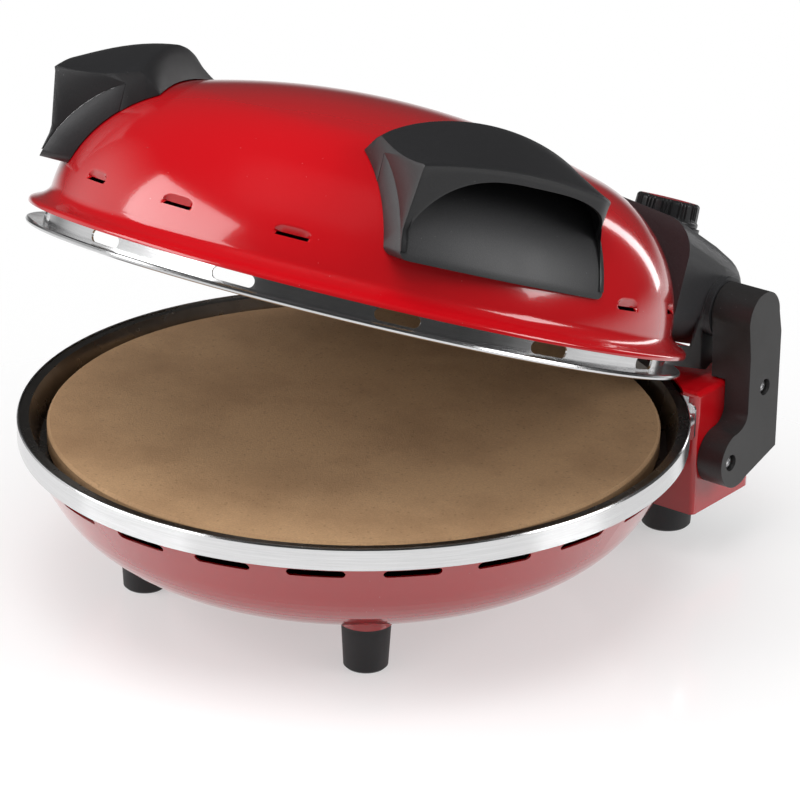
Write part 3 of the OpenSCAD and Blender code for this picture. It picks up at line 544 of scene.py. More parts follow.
def flecked(name, color, noise, fade, dim, rough, relief, metallic=0.0):
    """A plain surface whose colour, roughness and height follow one fine noise."""
    f = Finish(name)
    fine = f.noise(*noise, 0.7)
    f.put(Base_Color=f.mix(f.span(fine, *fade), color, shade(color, dim)), Metallic=metallic,
          Roughness=f.span(fine, 0.3, 0.7, *rough))
    return f.bumped(fine, *relief)


def bare_steel(name, color, rough):
    return flecked(name, color, (700.0, 5.0), (0.35, 0.7), 0.78, (rough, rough + 0.12), (0.12, 0.00008), 1.0)


def soft_rubber(name, color, rough=0.62):
    f = Finish(name)
    fine = f.noise(1500.0, 4.0, 0.7)
    bloom = f.noise(40.0, 4.0)
    tone = f.mix(f.span(bloom, 0.4, 0.7), color, shade(color, 1.5))
    f.put(Base_Color=tone, Roughness=f.span(fine, 0.3, 0.7, rough, rough + 0.12))
    return f.bumped(fine, 0.3, 0.00009)


def build_finishes():
    """Every finish by slot name. Enamel and trim have one for each body, in its own frame."""
    m, p = settings().metal, settings().plastic
    return {
        "base_paint": enamel("Red enamel, bowl", TABLE),
        "lid_paint": enamel("Red enamel, dome", LID),
        "steel_trim": polished_steel("Polished steel, rim", TABLE),
        "lid_trim": polished_steel("Polished steel, lid", LID),
        "screw_steel": bare_steel("Screw steel", (0.80, 0.80, 0.81), 0.22),
        "bright_steel": bare_steel("Bright sheet steel", (0.60, 0.60, 0.61), 0.28),
        "dark_pan": reflector_sheet("Dark dish", m.dish, TABLE, 0.2),
        "reflector_steel": reflector_sheet("Lid reflector", (0.62, 0.62, 0.62), LID, 0.25),
        "stone": fired_stone("Fired stone"),
        "heater_tube": heater_steel("Heater sheath", TABLE),
        "terminal_ceramic": flecked("Terminal ceramic", (0.72, 0.69, 0.60), (520.0, 5.0), (0.4, 0.7), 0.86,
                                    (0.42, 0.6), (0.2, 0.0001)),
        "rubber": soft_rubber("Cord rubber", (0.018, 0.018, 0.018)),
        "foot_plastic": soft_rubber("Foot rubber", (0.016, 0.016, 0.017), 0.5),
        "black_plastic": moulding("Black arm plastic", p.arm, TABLE, 0.40),
        "handle_plastic": moulding("Handle plastic", p.handle, LID, 0.36),
        "panel_plastic": moulding("Handle panel plastic", shade(p.handle, 1.5), LID, 0.40),
        "housing_plastic": moulding("Housing plastic", p.housing, LID, 0.42),
        "knob_plastic": moulding("Knob plastic", shade(p.handle, 0.8), LID, 0.30, 0.15),
        "dial_red": flecked("Dial red", (0.42, 0.012, 0.02), (1400.0, 4.0), (0.45, 0.75), 0.8, (0.4, 0.5),
                            (0.1, 0.00003)),
    }


# ---- Lid shapes, as the part has them: the dome's outline and the handles' sections ----

SIDE_FOOT_R, SIDE_FOOT_Z = LIP_R - 10.0, BAND_H + 7.0
SHOULDER_Z = BAND_H + 3.5
SHOULDER_X = SIDE_FOOT_R - math.sqrt(SHOULDER_R**2 - (SIDE_FOOT_Z - SHOULDER_Z) ** 2)
CROWN_Z = SHOULDER_Z - math.sqrt((CROWN_R - SHOULDER_R) ** 2 - SHOULDER_X**2)
CROWN_TURN = math.asin(SHOULDER_X / (CROWN_R - SHOULDER_R))
VENT_Z = BAND_H + 21.0
VENT_TURNS = [math.radians(22.6 * k) for k in (-5, -4, -1, 0, 1, 4, 5)]
SLIT_GAP = 1.5
DOME_SEAT = 0.7


def dome_radius(z):
    return SHOULDER_X + math.sqrt(max(0.0, SHOULDER_R**2 - (z - SHOULDER_Z) ** 2))


def dome_height(r):
    if r < CROWN_R * math.sin(CROWN_TURN):
        return CROWN_Z + math.sqrt(CROWN_R**2 - r**2)
    return SHOULDER_Z + math.sqrt(max(0.0, SHOULDER_R**2 - (r - SHOULDER_X) ** 2))


def spread(low, high, count):
    return [low + (high - low) * i / count for i in range(count + 1)]


# A handle's sections stand across it: t is the place along it, u goes out from the lid's axis and z up.
HANDLE_TURN = math.radians(23.1)
HANDLE_HALF, HANDLE_MID = 61.5, -18.5
FRONT_END, REAR_END = HANDLE_MID - HANDLE_HALF, HANDLE_MID + HANDLE_HALF
HOOD_WALL, PANEL_T, PANEL_TAPER = 3.0, 4.0, 8.0
PANEL_FOOT_Z = BAND_H + 23.0
ARCH_FOOT_Z, ARCH_RISE = PANEL_FOOT_Z + 4.0, 48.0
ARCH_FRONT, ARCH_REAR = (2.6, 1 / 2), (4.0, 1 / 3)
RIDGE_U, FOOT_U, LEAF_U, LEAF_Z = LIP_R - 58.5, LIP_R - 72.0, LIP_R - 14.0, BAND_H + 71.0
RIDGE_END, RIDGE_RISE = 7.0, 17.0
EDGE_BULGE, EDGE_RISE = 3.0, 6.0
REAR_DRAW, REAR_FROM, REAR_OVER = 12.0, 0.72, 0.23
LEAF_CROWN, LEAF_SAG = 12.0, 21.6
PANEL_INSET, PANEL_END_INSET = 5.0, 14.0
WALL_LEAN, WALL_CLEAR = 0.17, 0.8


def along(t):
    """Place along a handle: -1 at its front end, 0 in its middle and 1 at its rear end."""
    return (t - HANDLE_MID) / HANDLE_HALF


def swell(t):
    """1 in a handle's middle and 0 at its ends."""
    return max(0.0, 1 - along(t) ** 2)


def over_dome(u, t):
    return dome_height(math.hypot(u, t)) + DOME_SEAT


def panel_u(t, z):
    return dome_radius(z) + PANEL_T - PANEL_TAPER * along(t) ** 2


def panel_in(t):
    return FOOT_U + PANEL_INSET + PANEL_END_INSET * along(t) ** 2


def panel_top(t):
    return dome_height(panel_in(t) - PANEL_T + PANEL_TAPER * along(t) ** 2)


def arch_z(t):
    """The opening's upper edge, whose front leg is rounder than its rear one."""
    flat, curl = ARCH_FRONT if along(t) < 0 else ARCH_REAR
    return PANEL_FOOT_Z + ARCH_RISE * max(0.0, 1 - abs(along(t)) ** flat) ** curl


def edge_u(t):
    return LEAF_U + EDGE_BULGE * swell(t) - REAR_DRAW * max(0.0, (along(t) - REAR_FROM) / REAR_OVER) ** 2


def edge_z(t):
    return LEAF_Z + EDGE_RISE * swell(t)


def ridge_z(t):
    return LEAF_Z + RIDGE_END + RIDGE_RISE * swell(t) ** 0.8


def wall_u(t, z):
    return max(edge_u(t) - WALL_LEAN * (edge_z(t) - z), panel_u(t, z) + WALL_CLEAR)


def leaf_top(t, f):
    """A point on the leaf, crowned mid-way and hollow at the ends: f is 0 at its edge, 1 at its ridge."""
    u = edge_u(t) + (RIDGE_U - edge_u(t)) * f
    crown = (LEAF_CROWN - LEAF_SAG * along(t) ** 2) * f * (1 - f)
    return u, edge_z(t) + (ridge_z(t) - edge_z(t)) * f + crown


def resampled(points, count):
    """The same line through count + 1 points at even steps of its length."""
    lengths = [0.0]
    for a, b in zip(points, points[1:]):
        lengths.append(lengths[-1] + math.dist(a, b))
    out, k = [], 0
    for i in range(count + 1):
        want = lengths[-1] * i / count
        while k < len(points) - 2 and lengths[k + 1] < want:
            k += 1
        span = lengths[k + 1] - lengths[k]
        f = (want - lengths[k]) / span if span > 1e-9 else 0.0
        f = min(1.0, max(0.0, f))
        out.append(tuple(a + (b - a) * f for a, b in zip(points[k], points[k + 1])))
    return out


# ---- Operators: one for each piece or group of like pieces ----


class OVEN_OT_surfaces(bpy.types.Operator):
    """Give every piece of the frame its finish"""

    bl_idname = "oven.surfaces"
    bl_label = "Finish the Frame"

    def execute(self, context):
        finish = finishes()
        for part in frame["record"]["subparts"]:
            node, slot = part["node"], part["material_slot"]
            on_lid = frame_body(node) != "base"
            name = {"red_paint": "lid_paint" if on_lid else "base_paint",
                    "steel_trim": "lid_trim" if on_lid else "steel_trim"}.get(slot, slot)
            data = NODES[node].data
            data.materials.clear()
            data.materials.append(finish[name])
        return {"FINISHED"}


def frame_body(node):
    bodies = frame["record"]["behaviour"]["bodies"]
    return next(body for body, members in bodies.items() if node in members)


FINISHES = {}


def finishes():
    if not FINISHES:
        FINISHES.update(build_finishes())
    return FINISHES


# The lip's rounded edge: how far in from its rim, and how high over the top of the band.
LIP_EDGE = [(0.0, -2.2), (-0.05, -1.3), (0.1, -0.4), (0.8, 0.4), (2.4, 1.2), (4.2, 2.0), (6.2, 3.1),
            (8.0, 4.6), (9.2, 6.1)]
SLIT_DROP = 1.2
VENT_COLUMNS, SIDE_ROWS, CROWN_ROWS = 26, 34, 26


class OVEN_OT_dome(bpy.types.Operator):
    """Spin the dome with its rolled lip and press its vents"""

    bl_idname = "oven.dome"
    bl_label = "Build Dome"

    def execute(self, context):
        vents = settings().vents
        half, tall, deep = vents.width / MM / 2, vents.height / MM, vents.depth / MM
        slit = VENT_Z - SLIT_DROP
        edge = [(LIP_R - inset, BAND_H + rise) for inset, rise in LIP_EDGE]
        levels = spread(SIDE_FOOT_Z + 0.6, slit - 0.6, 6) + [slit - 0.25, slit, slit + SLIT_GAP]
        levels += spread(slit + SLIT_GAP + 0.4, slit + tall + 1.5, 9)
        side = [(dome_radius(z), z) for z in levels]
        top = math.asin((levels[-1] - SHOULDER_Z) / SHOULDER_R)
        for a in spread(top, math.pi / 2 - CROWN_TURN, SIDE_ROWS)[1:]:
            side.append((SHOULDER_X + SHOULDER_R * math.cos(a), SHOULDER_Z + SHOULDER_R * math.sin(a)))
        for a in spread(CROWN_TURN, 0.0, CROWN_ROWS)[1:]:
            side.append((CROWN_R * math.sin(a), CROWN_Z + CROWN_R * math.cos(a)))
        profile = edge + side
        turns = dome_turns(half)
        verts, faces = spin_grid(profile, turns)
        rows = len(profile) - 1
        slit_row = len(edge) + levels.index(slit)
        verts = [press_vent(v, i % rows - slit_row, half, tall, deep, slit) if i < rows * len(turns) else v
                 for i, v in enumerate(verts)]
        opened = [f for f in faces if not crosses_slit(f, verts, rows, slit_row, len(turns))]
        dome = mesh_piece("dome_shell", verts, opened, Matrix.Identity(4), finishes()["lid_paint"], 40)
        work = bmesh.new()
        work.from_mesh(dome.data)
        bmesh.ops.recalc_face_normals(work, faces=work.faces)
        geometry = work.verts[:] + work.edges[:] + work.faces[:]
        bmesh.ops.bisect_plane(work, geom=geometry, plane_co=(0, DOME_CUT_Y - 0.1, 0), plane_no=(0, 1, 0),
                               clear_outer=True)
        if work.faces and sum(f.normal.z for f in work.faces) < 0:
            bmesh.ops.reverse_faces(work, faces=work.faces)
        work.to_mesh(dome.data)
        work.free()
        sheet = dome.modifiers.new("Sheet", "SOLIDIFY")
        sheet.thickness, sheet.offset, sheet.use_even_offset = DOME_WALL, -1.0, False
        shade_smooth(settle(dome), 40)
        dome.data.transform(LID)
        seat(dome, "lid", "red_paint", "lid_dome")
        return {"FINISHED"}


def dome_turns(half):
    """Angles round the dome: close together over each vent, and wider between them."""
    reach = (half + 2.5) / dome_radius(VENT_Z)
    turns = []
    for centre in VENT_TURNS:
        turns += spread(centre - reach, centre + reach, VENT_COLUMNS)
    ends = sorted(VENT_TURNS)
    for a, b in zip(ends, ends[1:] + [ends[0] + 2 * math.pi]):
        low, high = a + reach, b - reach
        turns += spread(low, high, max(2, round((high - low) / math.radians(2.0))))[1:-1]
    return sorted(t % (2 * math.pi) for t in turns)


def press_vent(v, row, half, tall, deep, slit):
    """Presses the tongue above a slit into the dome, where row 1 lies just above the slit."""
    if row < 1 or v[2] > slit + tall + 1:
        return v
    turn = math.atan2(v[0], -v[1])
    nearest = min(VENT_TURNS, key=lambda t: abs(t - turn))
    across = abs(turn - nearest) * dome_radius(VENT_Z) / half
    if across >= 1:
        return v
    roof = tall * (1 - across**5) ** 0.5
    up = (v[2] - slit) / max(roof, 0.01)
    if up >= 1:
        return v
    press = deep * (1 - up) ** 0.8 * min(1.0, (1 - across) / 0.12)
    r = math.hypot(v[0], v[1])
    k = (r - press) / r
    return (v[0] * k, v[1] * k, v[2])


def crosses_slit(face, verts, rows, slit_row, columns):
    """Whether a face bridges the slit under a pressed tongue."""
    if len(face) != 4 or min(i % rows for i in face) != slit_row or max(face) >= rows * columns:
        return False
    lower = [verts[i] for i in face if i % rows == slit_row]
    upper = [verts[i] for i in face if i % rows == slit_row + 1]
    step = min(math.hypot(*a[:2]) for a in lower) - max(math.hypot(*b[:2]) for b in upper)
    return step > 0.9


LEAF_STEPS = (0.02, 0.08, 0.16, 0.25, 0.35, 0.45, 0.55, 0.65, 0.75, 0.84, 0.92, 1.0)
OPEN_SECTIONS, END_STEP, SEAT_GAP = 46, 0.1, 0.1
PANEL_SECTIONS, PANEL_CORNER = 40, 4.0
HANDLE_EDGE = 0.5


def hood_rows():
    """Places and sections of a hood: its outside from the arch's edge up and over, then its inside."""
    near, far = FRONT_END + HOOD_WALL, REAR_END - HOOD_WALL
    span = HANDLE_HALF - HOOD_WALL - END_STEP
    open_places = [HANDLE_MID - span * math.cos(math.pi * k / OPEN_SECTIONS) for k in range(1, OPEN_SECTIONS)]
    rows = [(t, False) for t in (FRONT_END, FRONT_END + HOOD_WALL / 2, near)]
    rows += [(t, True) for t in [near + END_STEP] + open_places + [far - END_STEP]]
    rows += [(t, False) for t in (far, REAR_END - HOOD_WALL / 2, REAR_END)]
    return [(t, hood_outside(t, arch_z(t)) + hood_hollow(t) if is_open
             else hood_outside(t, ARCH_FOOT_Z) + hood_closed(t)) for t, is_open in rows]


def hood_outside(t, low):
    points = [(wall_u(t, z), z) for z in spread(low, edge_z(t) - 3, 8)]
    points += [(edge_u(t) - 0.1, edge_z(t) - 1.9), (edge_u(t) + 0.3, edge_z(t) - 0.9)]
    points += [leaf_top(t, f) for f in LEAF_STEPS]
    points += [(RIDGE_U - 1.5, ridge_z(t) - 0.2), (RIDGE_U - 2.8, ridge_z(t) - 0.9),
               (RIDGE_U - 5.5, ridge_z(t) - 2 - 2.5 * swell(t))]
    return points + [(FOOT_U, over_dome(FOOT_U, t))]


def hood_heel(t):
    inner = panel_in(t)
    under = [FOOT_U + (inner - FOOT_U) * f for f in (0.35, 0.7)]
    heel = [(u, over_dome(u, t)) for u in under]
    inner -= SEAT_GAP
    return heel + [(inner, over_dome(panel_in(t), t)), (inner, panel_top(t) + SEAT_GAP)]


def hood_hollow(t):
    line = [(panel_in(t) + 4, ridge_z(t) - 8)]
    line += [(u, z - HOOD_WALL - 1) for u, z in (leaf_top(t, f) for f in (0.7, 0.45, 0.2))]
    line += [(edge_u(t) - HOOD_WALL - 1, edge_z(t) - 5.5)]
    low = arch_z(t)
    line += [(max(wall_u(t, low) - HOOD_WALL, panel_u(t, low) + SEAT_GAP), low)]
    return hood_heel(t) + resampled(line, 12)


def hood_closed(t):
    steps = spread(panel_top(t), ARCH_FOOT_Z, 12)
    return hood_heel(t) + [(panel_u(t, z) + SEAT_GAP, z) for z in steps]


def panel_rows():
    """Places and sections of a mounting panel, up its face and back down along the dome."""
    rows = []
    for k in range(PANEL_SECTIONS + 1):
        t = HANDLE_MID - HANDLE_HALF * math.cos(math.pi * k / PANEL_SECTIONS)
        left = PANEL_CORNER - min(PANEL_CORNER, HANDLE_HALF * (1 - abs(along(t))))
        foot = PANEL_FOOT_Z + PANEL_CORNER - math.sqrt(PANEL_CORNER**2 - left**2)
        face = [(max(panel_in(t), panel_u(t, z)), z) for z in spread(foot, panel_top(t), 12)]
        back = []
        for z in spread(over_dome(panel_in(t), t), foot, 8):
            r = dome_radius(max(SHOULDER_Z, z - DOME_SEAT)) + 0.2
            back.append((max(panel_in(t), math.sqrt(r**2 - t**2)), z))
        rows.append((t, face + back))
    return rows


def lofted(name, rows, place, material):
    """A closed solid through sections [(place along, [(out, up), ...])], with small rounded edges."""
    n = len(rows[0][1])
    verts = [(u, t, z) for t, section in rows for u, z in section]
    faces = []
    for i in range(len(rows) - 1):
        for j in range(n):
            k = (j + 1) % n
            faces.append((i * n + j, i * n + k, (i + 1) * n + k, (i + 1) * n + j))
    faces += [tuple(range(n)), tuple((len(rows) - 1) * n + j for j in range(n))]
    piece = mesh_piece(name, verts, faces, place, material)
    face_outwards(piece.data)
    rounding = piece.modifiers.new("Edge", "BEVEL")
    rounding.width, rounding.segments = HANDLE_EDGE * MM, 2
    rounding.limit_method, rounding.angle_limit = "ANGLE", math.radians(50)
    return shade_smooth(settle(piece), 38)


class OVEN_OT_handles(bpy.types.Operator):
    """Loft both handles: their hoods over the dome and the panels that carry them"""

    bl_idname = "oven.handles"
    bl_label = "Build Handles"

    def execute(self, context):
        turn = Matrix.Rotation(-HANDLE_TURN, 4, "Z")
        for side, mirror in (("right", 1), ("left", -1)):
            place = LID @ Matrix.Diagonal((mirror, 1, 1, 1)) @ turn
            hood = lofted(f"hood_{side}", hood_rows(), place, finishes()["handle_plastic"])
            seat(hood, "lid", "handle_plastic", f"handle_{side}")
            panel = lofted(f"panel_{side}", panel_rows(), place, finishes()["panel_plastic"])
            seat(panel, "lid", "panel_plastic", f"handle_panel_{side}")
        return {"FINISHED"}


class OVEN_OT_housing(bpy.types.Operator):
    """Smooth the rear housing and its bottom cover"""

    bl_idname = "oven.housing"
    bl_label = "Build Housing"

    def execute(self, context):
        for node, name in (("rear_housing", "housing_top"), ("housing_bottom_cover", "housing_floor")):
            piece = merged_copy(node, name, finishes()["housing_plastic"], 24)
            even = piece.modifiers.new("Shading", "WEIGHTED_NORMAL")
            even.keep_sharp, even.weight = True, 90
            settle(piece)
            seat(piece, "lid", "housing_plastic", node)
        return {"FINISHED"}


# The knob's skirt, grip and dial, in millimetres over its underside or out from its axis.
SKIRT_TOP, KNOB_COLUMNS = 3.0, 432
DIAL_OUTER, DIAL_INNER, DIAL_DEPTH = KNOB_R - 7.5, KNOB_R - 10.5, 0.8
DIAL_SWEEP = math.radians(270)
TICK_RADIUS, TICK_LENGTH, NUMBER_RADIUS, NUMBER_SIZE, NUMBER_LIFT = 14.6, 2.2, 6.3, 3.4, 0.05
GROOVE_STEP, GROOVE_HALF, GROOVE_DEPTH = math.radians(7.0), math.radians(2.6), 1.0


class OVEN_OT_knob(bpy.types.Operator):
    """Turn the knob with its grooves, and print its dial"""

    bl_idname = "oven.knob"
    bl_label = "Build Knob"

    def execute(self, context):
        k = settings().knob
        place = LID @ Matrix.Translation((KNOB_X, KNOB_Y, BOSS_TOP + KNOB_GAP))
        skirt = [(16.0, 0.0), (0.4, 0.0), (0.0, 0.4), (0.0, 2.0), (0.25, 2.5), (0.8, SKIRT_TOP)]
        grip = [(0.8 + 0.4 * i / 8, SKIRT_TOP + (KNOB_H - 4.5) * i / 8) for i in range(1, 9)]
        rim = [(1.45, KNOB_H - 0.9), (1.95, KNOB_H - 0.35), (2.7, KNOB_H)]
        profile = [(KNOB_R - inset, z) for inset, z in skirt + grip + rim]
        floor = KNOB_H - DIAL_DEPTH
        profile += [(DIAL_OUTER, KNOB_H), (DIAL_OUTER, floor), (DIAL_INNER, floor), (DIAL_INNER, KNOB_H)]
        profile += [(4.0, KNOB_H), (0.0, KNOB_H)]
        verts, faces = spin_grid(profile, spread(0.0, 2 * math.pi, KNOB_COLUMNS)[:-1])
        verts = [groove(v, k.groups) for v in verts]
        knob = mesh_piece("knob_body", verts, faces, place, finishes()["knob_plastic"], 40)
        seat(knob, "knob", "knob_plastic", "control_knob")
        self.print_dial(k, place)
        return {"FINISHED"}

    def print_dial(self, k, place):
        """Red ticks and numbers in a ring on the knob's top."""
        red = finishes()["dial_red"]
        top = place @ Matrix.Translation((0, 0, KNOB_H))
        values = {"Count": k.numbers * 3 + 1, "Sweep": DIAL_SWEEP, "Radius": TICK_RADIUS,
                  "Length": TICK_LENGTH}
        ticks = grow("dial_ticks", tick_tree(), [(0, 0, 0)], top, values, red)
        seat(ticks, "knob", "dial_red")
        for i in range(k.numbers):
            turn = DIAL_SWEEP * (i / (k.numbers - 1) - 0.5)
            text = bpy.data.curves.new(f"number_{i + 1}", "FONT")
            text.body, text.size, text.extrude = str(i + 1), NUMBER_SIZE, 0.04
            text.align_x, text.align_y = "CENTER", "CENTER"
            number = placed(f"dial_number_{i + 1}", text)
            out = Matrix.Translation((0, NUMBER_RADIUS, KNOB_H + NUMBER_LIFT))
            settle_text(number, place @ (Matrix.Rotation(-turn, 4, "Z") @ out), red)


def groove(v, groups):
    """Presses a knob's vertex in where it lies in one of the three grooves of a group."""
    x, y, z = v
    r = math.hypot(x, y)
    if z < SKIRT_TOP + 0.05 or r < KNOB_R - 2.8:
        return v
    turn = math.atan2(y, x)
    step = 2 * math.pi / groups
    local = (turn + step / 2) % step - step / 2
    off = min(abs(local - k * GROOVE_STEP) for k in (-1, 0, 1))
    if off >= GROOVE_HALF:
        return v
    k = (r - GROOVE_DEPTH * math.sqrt(1 - (off / GROOVE_HALF) ** 2)) / r
    return (x * k, y * k, z)


def tick_tree():
    """Geometry Nodes: flat marks at even steps round part of a circle."""
    tree, ins, outs = geometry_tree("Dial Ticks", Count=16, Radius=14.6, Length=2.0, Width=0.5, Sweep=4.7)
    size = joined(tree, X=ins["Width"], Y=ins["Length"], Z=0.1)
    mark = wire(tree, "GeometryNodeMeshCube", [("Size", size)]).outputs[0]
    index = tree.nodes.new("GeometryNodeInputIndex").outputs[0]
    part = calc(tree, "DIVIDE", index, calc(tree, "SUBTRACT", ins["Count"], 1.0))
    turn = calc(tree, "MULTIPLY", calc(tree, "SUBTRACT", 0.5, part), ins["Sweep"])
    out = joined(tree, Y=ins["Radius"])
    place = wire(tree, "ShaderNodeVectorRotate", [("Vector", out), ("Angle", turn)], rotation_type="Z_AXIS")
    links = [("Count", ins["Count"]), ("Position", place.outputs[0])]
    points = wire(tree, "GeometryNodePoints", links).outputs[0]
    return finish_tree(tree, ins, outs, points, mark, joined(tree, Z=turn))


def geometry_tree(name, **values):
    """A Geometry Nodes tree with an input for each value, and one for its material."""
    geometry = ("Geometry", "NodeSocketGeometry")
    kinds = {int: "NodeSocketInt", float: "NodeSocketFloat"}
    numbers = [(label.replace("_", " "), kinds[type(value)], value) for label, value in values.items()]
    inputs = [(*geometry, None)] + numbers + [("Material", "NodeSocketMaterial", None)]
    return node_group(name, "GeometryNodeTree", inputs, [geometry])


def finish_tree(tree, ins, outs, points, instance, turn):
    """Ends a tree: an instance on each point, made real, with the material."""
    links = [("Points", points), ("Instance", instance), ("Rotation", turn)]
    placed = wire(tree, "GeometryNodeInstanceOnPoints", links).outputs[0]
    real = wire(tree, "GeometryNodeRealizeInstances", [("Geometry", placed)]).outputs[0]
    painted = wire(tree, "GeometryNodeSetMaterial", [("Geometry", real), ("Material", ins["Material"])])
    tree.links.new(painted.outputs[0], outs["Geometry"])
    return tree


def settle_text(number, place, material):
    """Makes a text object a plain mesh in its place, riding on the knob."""
    mesh, name, curve = applied(number), number.name, number.data
    bpy.data.objects.remove(number)
    bpy.data.curves.remove(curve)
    mesh.transform(place)
    seat(adopt(name, mesh, material), "knob", "dial_red")


def screw_tree():
    """Geometry Nodes: domed screw heads with a cross recess, one on each seed point, facing +Z."""
    sizes = {"Radius": 4.0, "Height": 2.6, "Recess_Width": 0.9, "Recess_Length": 4.6, "Turn": 0.6}
    tree, ins, outs = geometry_tree("Domed Screws", **sizes)
    sides = [("Segments", 40), ("Rings", 24), ("Radius", 1.0)]
    ball = wire(tree, "GeometryNodeMeshUVSphere", sides).outputs[0]
    size = joined(tree, X=ins["Radius"], Y=ins["Radius"], Z=ins["Height"])
    head = wire(tree, "GeometryNodeTransform", [("Geometry", ball), ("Scale", size)]).outputs[0]
    cut = wire(tree, "GeometryNodeMeshBoolean", [("Mesh 1", head)], operation="DIFFERENCE", solver="EXACT")
    long, thin = ins["Recess Length"], ins["Recess Width"]
    for x, y in ((long, thin), (thin, long)):
        bar = joined(tree, X=x, Y=y, Z=ins["Height"])
        cube = wire(tree, "GeometryNodeMeshCube", [("Size", bar)]).outputs[0]
        up = joined(tree, Z=ins["Height"])
        raised = wire(tree, "GeometryNodeTransform", [("Geometry", cube), ("Translation", up)])
        tree.links.new(raised.outputs[0], cut.inputs["Mesh 2"])
    points = wire(tree, "GeometryNodeMeshToPoints", [("Mesh", ins["Geometry"])]).outputs[0]
    return finish_tree(tree, ins, outs, points, cut.outputs[0], joined(tree, Z=ins["Turn"]))


ARM_EDGE = 0.8
SCREW_DEPTH, SCREW_RADIUS, SCREW_HEIGHT = 3.7, 4.0, 2.4


class OVEN_OT_arms(bpy.types.Operator):
    """Round the edges of both arms"""

    bl_idname = "oven.arms"
    bl_label = "Build Arms"

    def execute(self, context):
        for side in ("left", "right"):
            piece = merged_copy(f"arm_{side}", f"arm_{side}_rounded", finishes()["black_plastic"], 30)
            work = bmesh.new()
            work.from_mesh(piece.data)
            bmesh.ops.dissolve_limit(work, angle_limit=math.radians(0.5), verts=work.verts, edges=work.edges)
            work.to_mesh(piece.data)
            work.free()
            edge = piece.modifiers.new("Edge", "BEVEL")
            edge.width, edge.segments = ARM_EDGE * MM, 3
            edge.limit_method, edge.angle_limit = "ANGLE", math.radians(40)
            even = piece.modifiers.new("Shading", "WEIGHTED_NORMAL")
            even.weight = 90
            settle(piece)
            seat(piece, "base", "black_plastic", f"arm_{side}")
        return {"FINISHED"}


class OVEN_OT_screws(bpy.types.Operator):
    """Set a domed screw in each recess of the arms"""

    bl_idname = "oven.screws"
    bl_label = "Build Arm Screws"

    def execute(self, context):
        tree = screw_tree()
        upright = Matrix.Rotation(math.radians(90), 4, "Y")
        for side, mirror in (("right", 1), ("left", -1)):
            sunk = Matrix.Translation((ARM_OUTER_X - SCREW_DEPTH, 0, 0))
            place = TABLE @ Matrix.Diagonal((mirror, 1, 1, 1)) @ sunk @ upright
            seeds = [(-z, y, 0) for y, z in ARM_SCREWS]
            values = {"Radius": SCREW_RADIUS, "Height": SCREW_HEIGHT}
            screws = grow(f"arm_screws_{side}_heads", tree, seeds, place, values, finishes()["screw_steel"])
            seat(screws, "base", "screw_steel", f"arm_screws_{side}")
        return {"FINISHED"}


# ---- Stage ----

EYE = (1.226325, -1.583456, 0.934620)
EYE_RIGHT = (0.79182538, 0.61056303, 0.01501176)
EYE_UP = (-0.246392, 0.2968568, 0.92258713)
EYE_BACK = (0.55884125, -0.73422669, 0.3854966)
LENS = 180.66

FLOOR_GREY, FLOOR_GLOW = 0.52, 0.47
FLOOR_NEAR, FLOOR_FAR = 0.2, 0.62
FLOOR_MIDDLE = (0.03, -0.10, 0.0)
TARGET = Vector((0, 0, 0.15))
# Each softbox: its name, place, size, shares of the key and fill power, and whether it shows in reflections.
SOFTBOXES = (
    ("Front left softbox", (-0.93, -1.18, 0.98), (1.35, 0.8), 1.0, 0.0, True),
    ("Overhead panel", (0.1, -0.5, 1.9), (1.5, 1.2), 1.6, 0.0, False),
    ("Rear strip", (0.15, 1.9, 0.25), (0.2, 0.9), 0.0, 0.22, True),
    ("Right panel", (1.75, 0.75, 0.95), (0.9, 0.9), 0.0, 1.5, True),
)


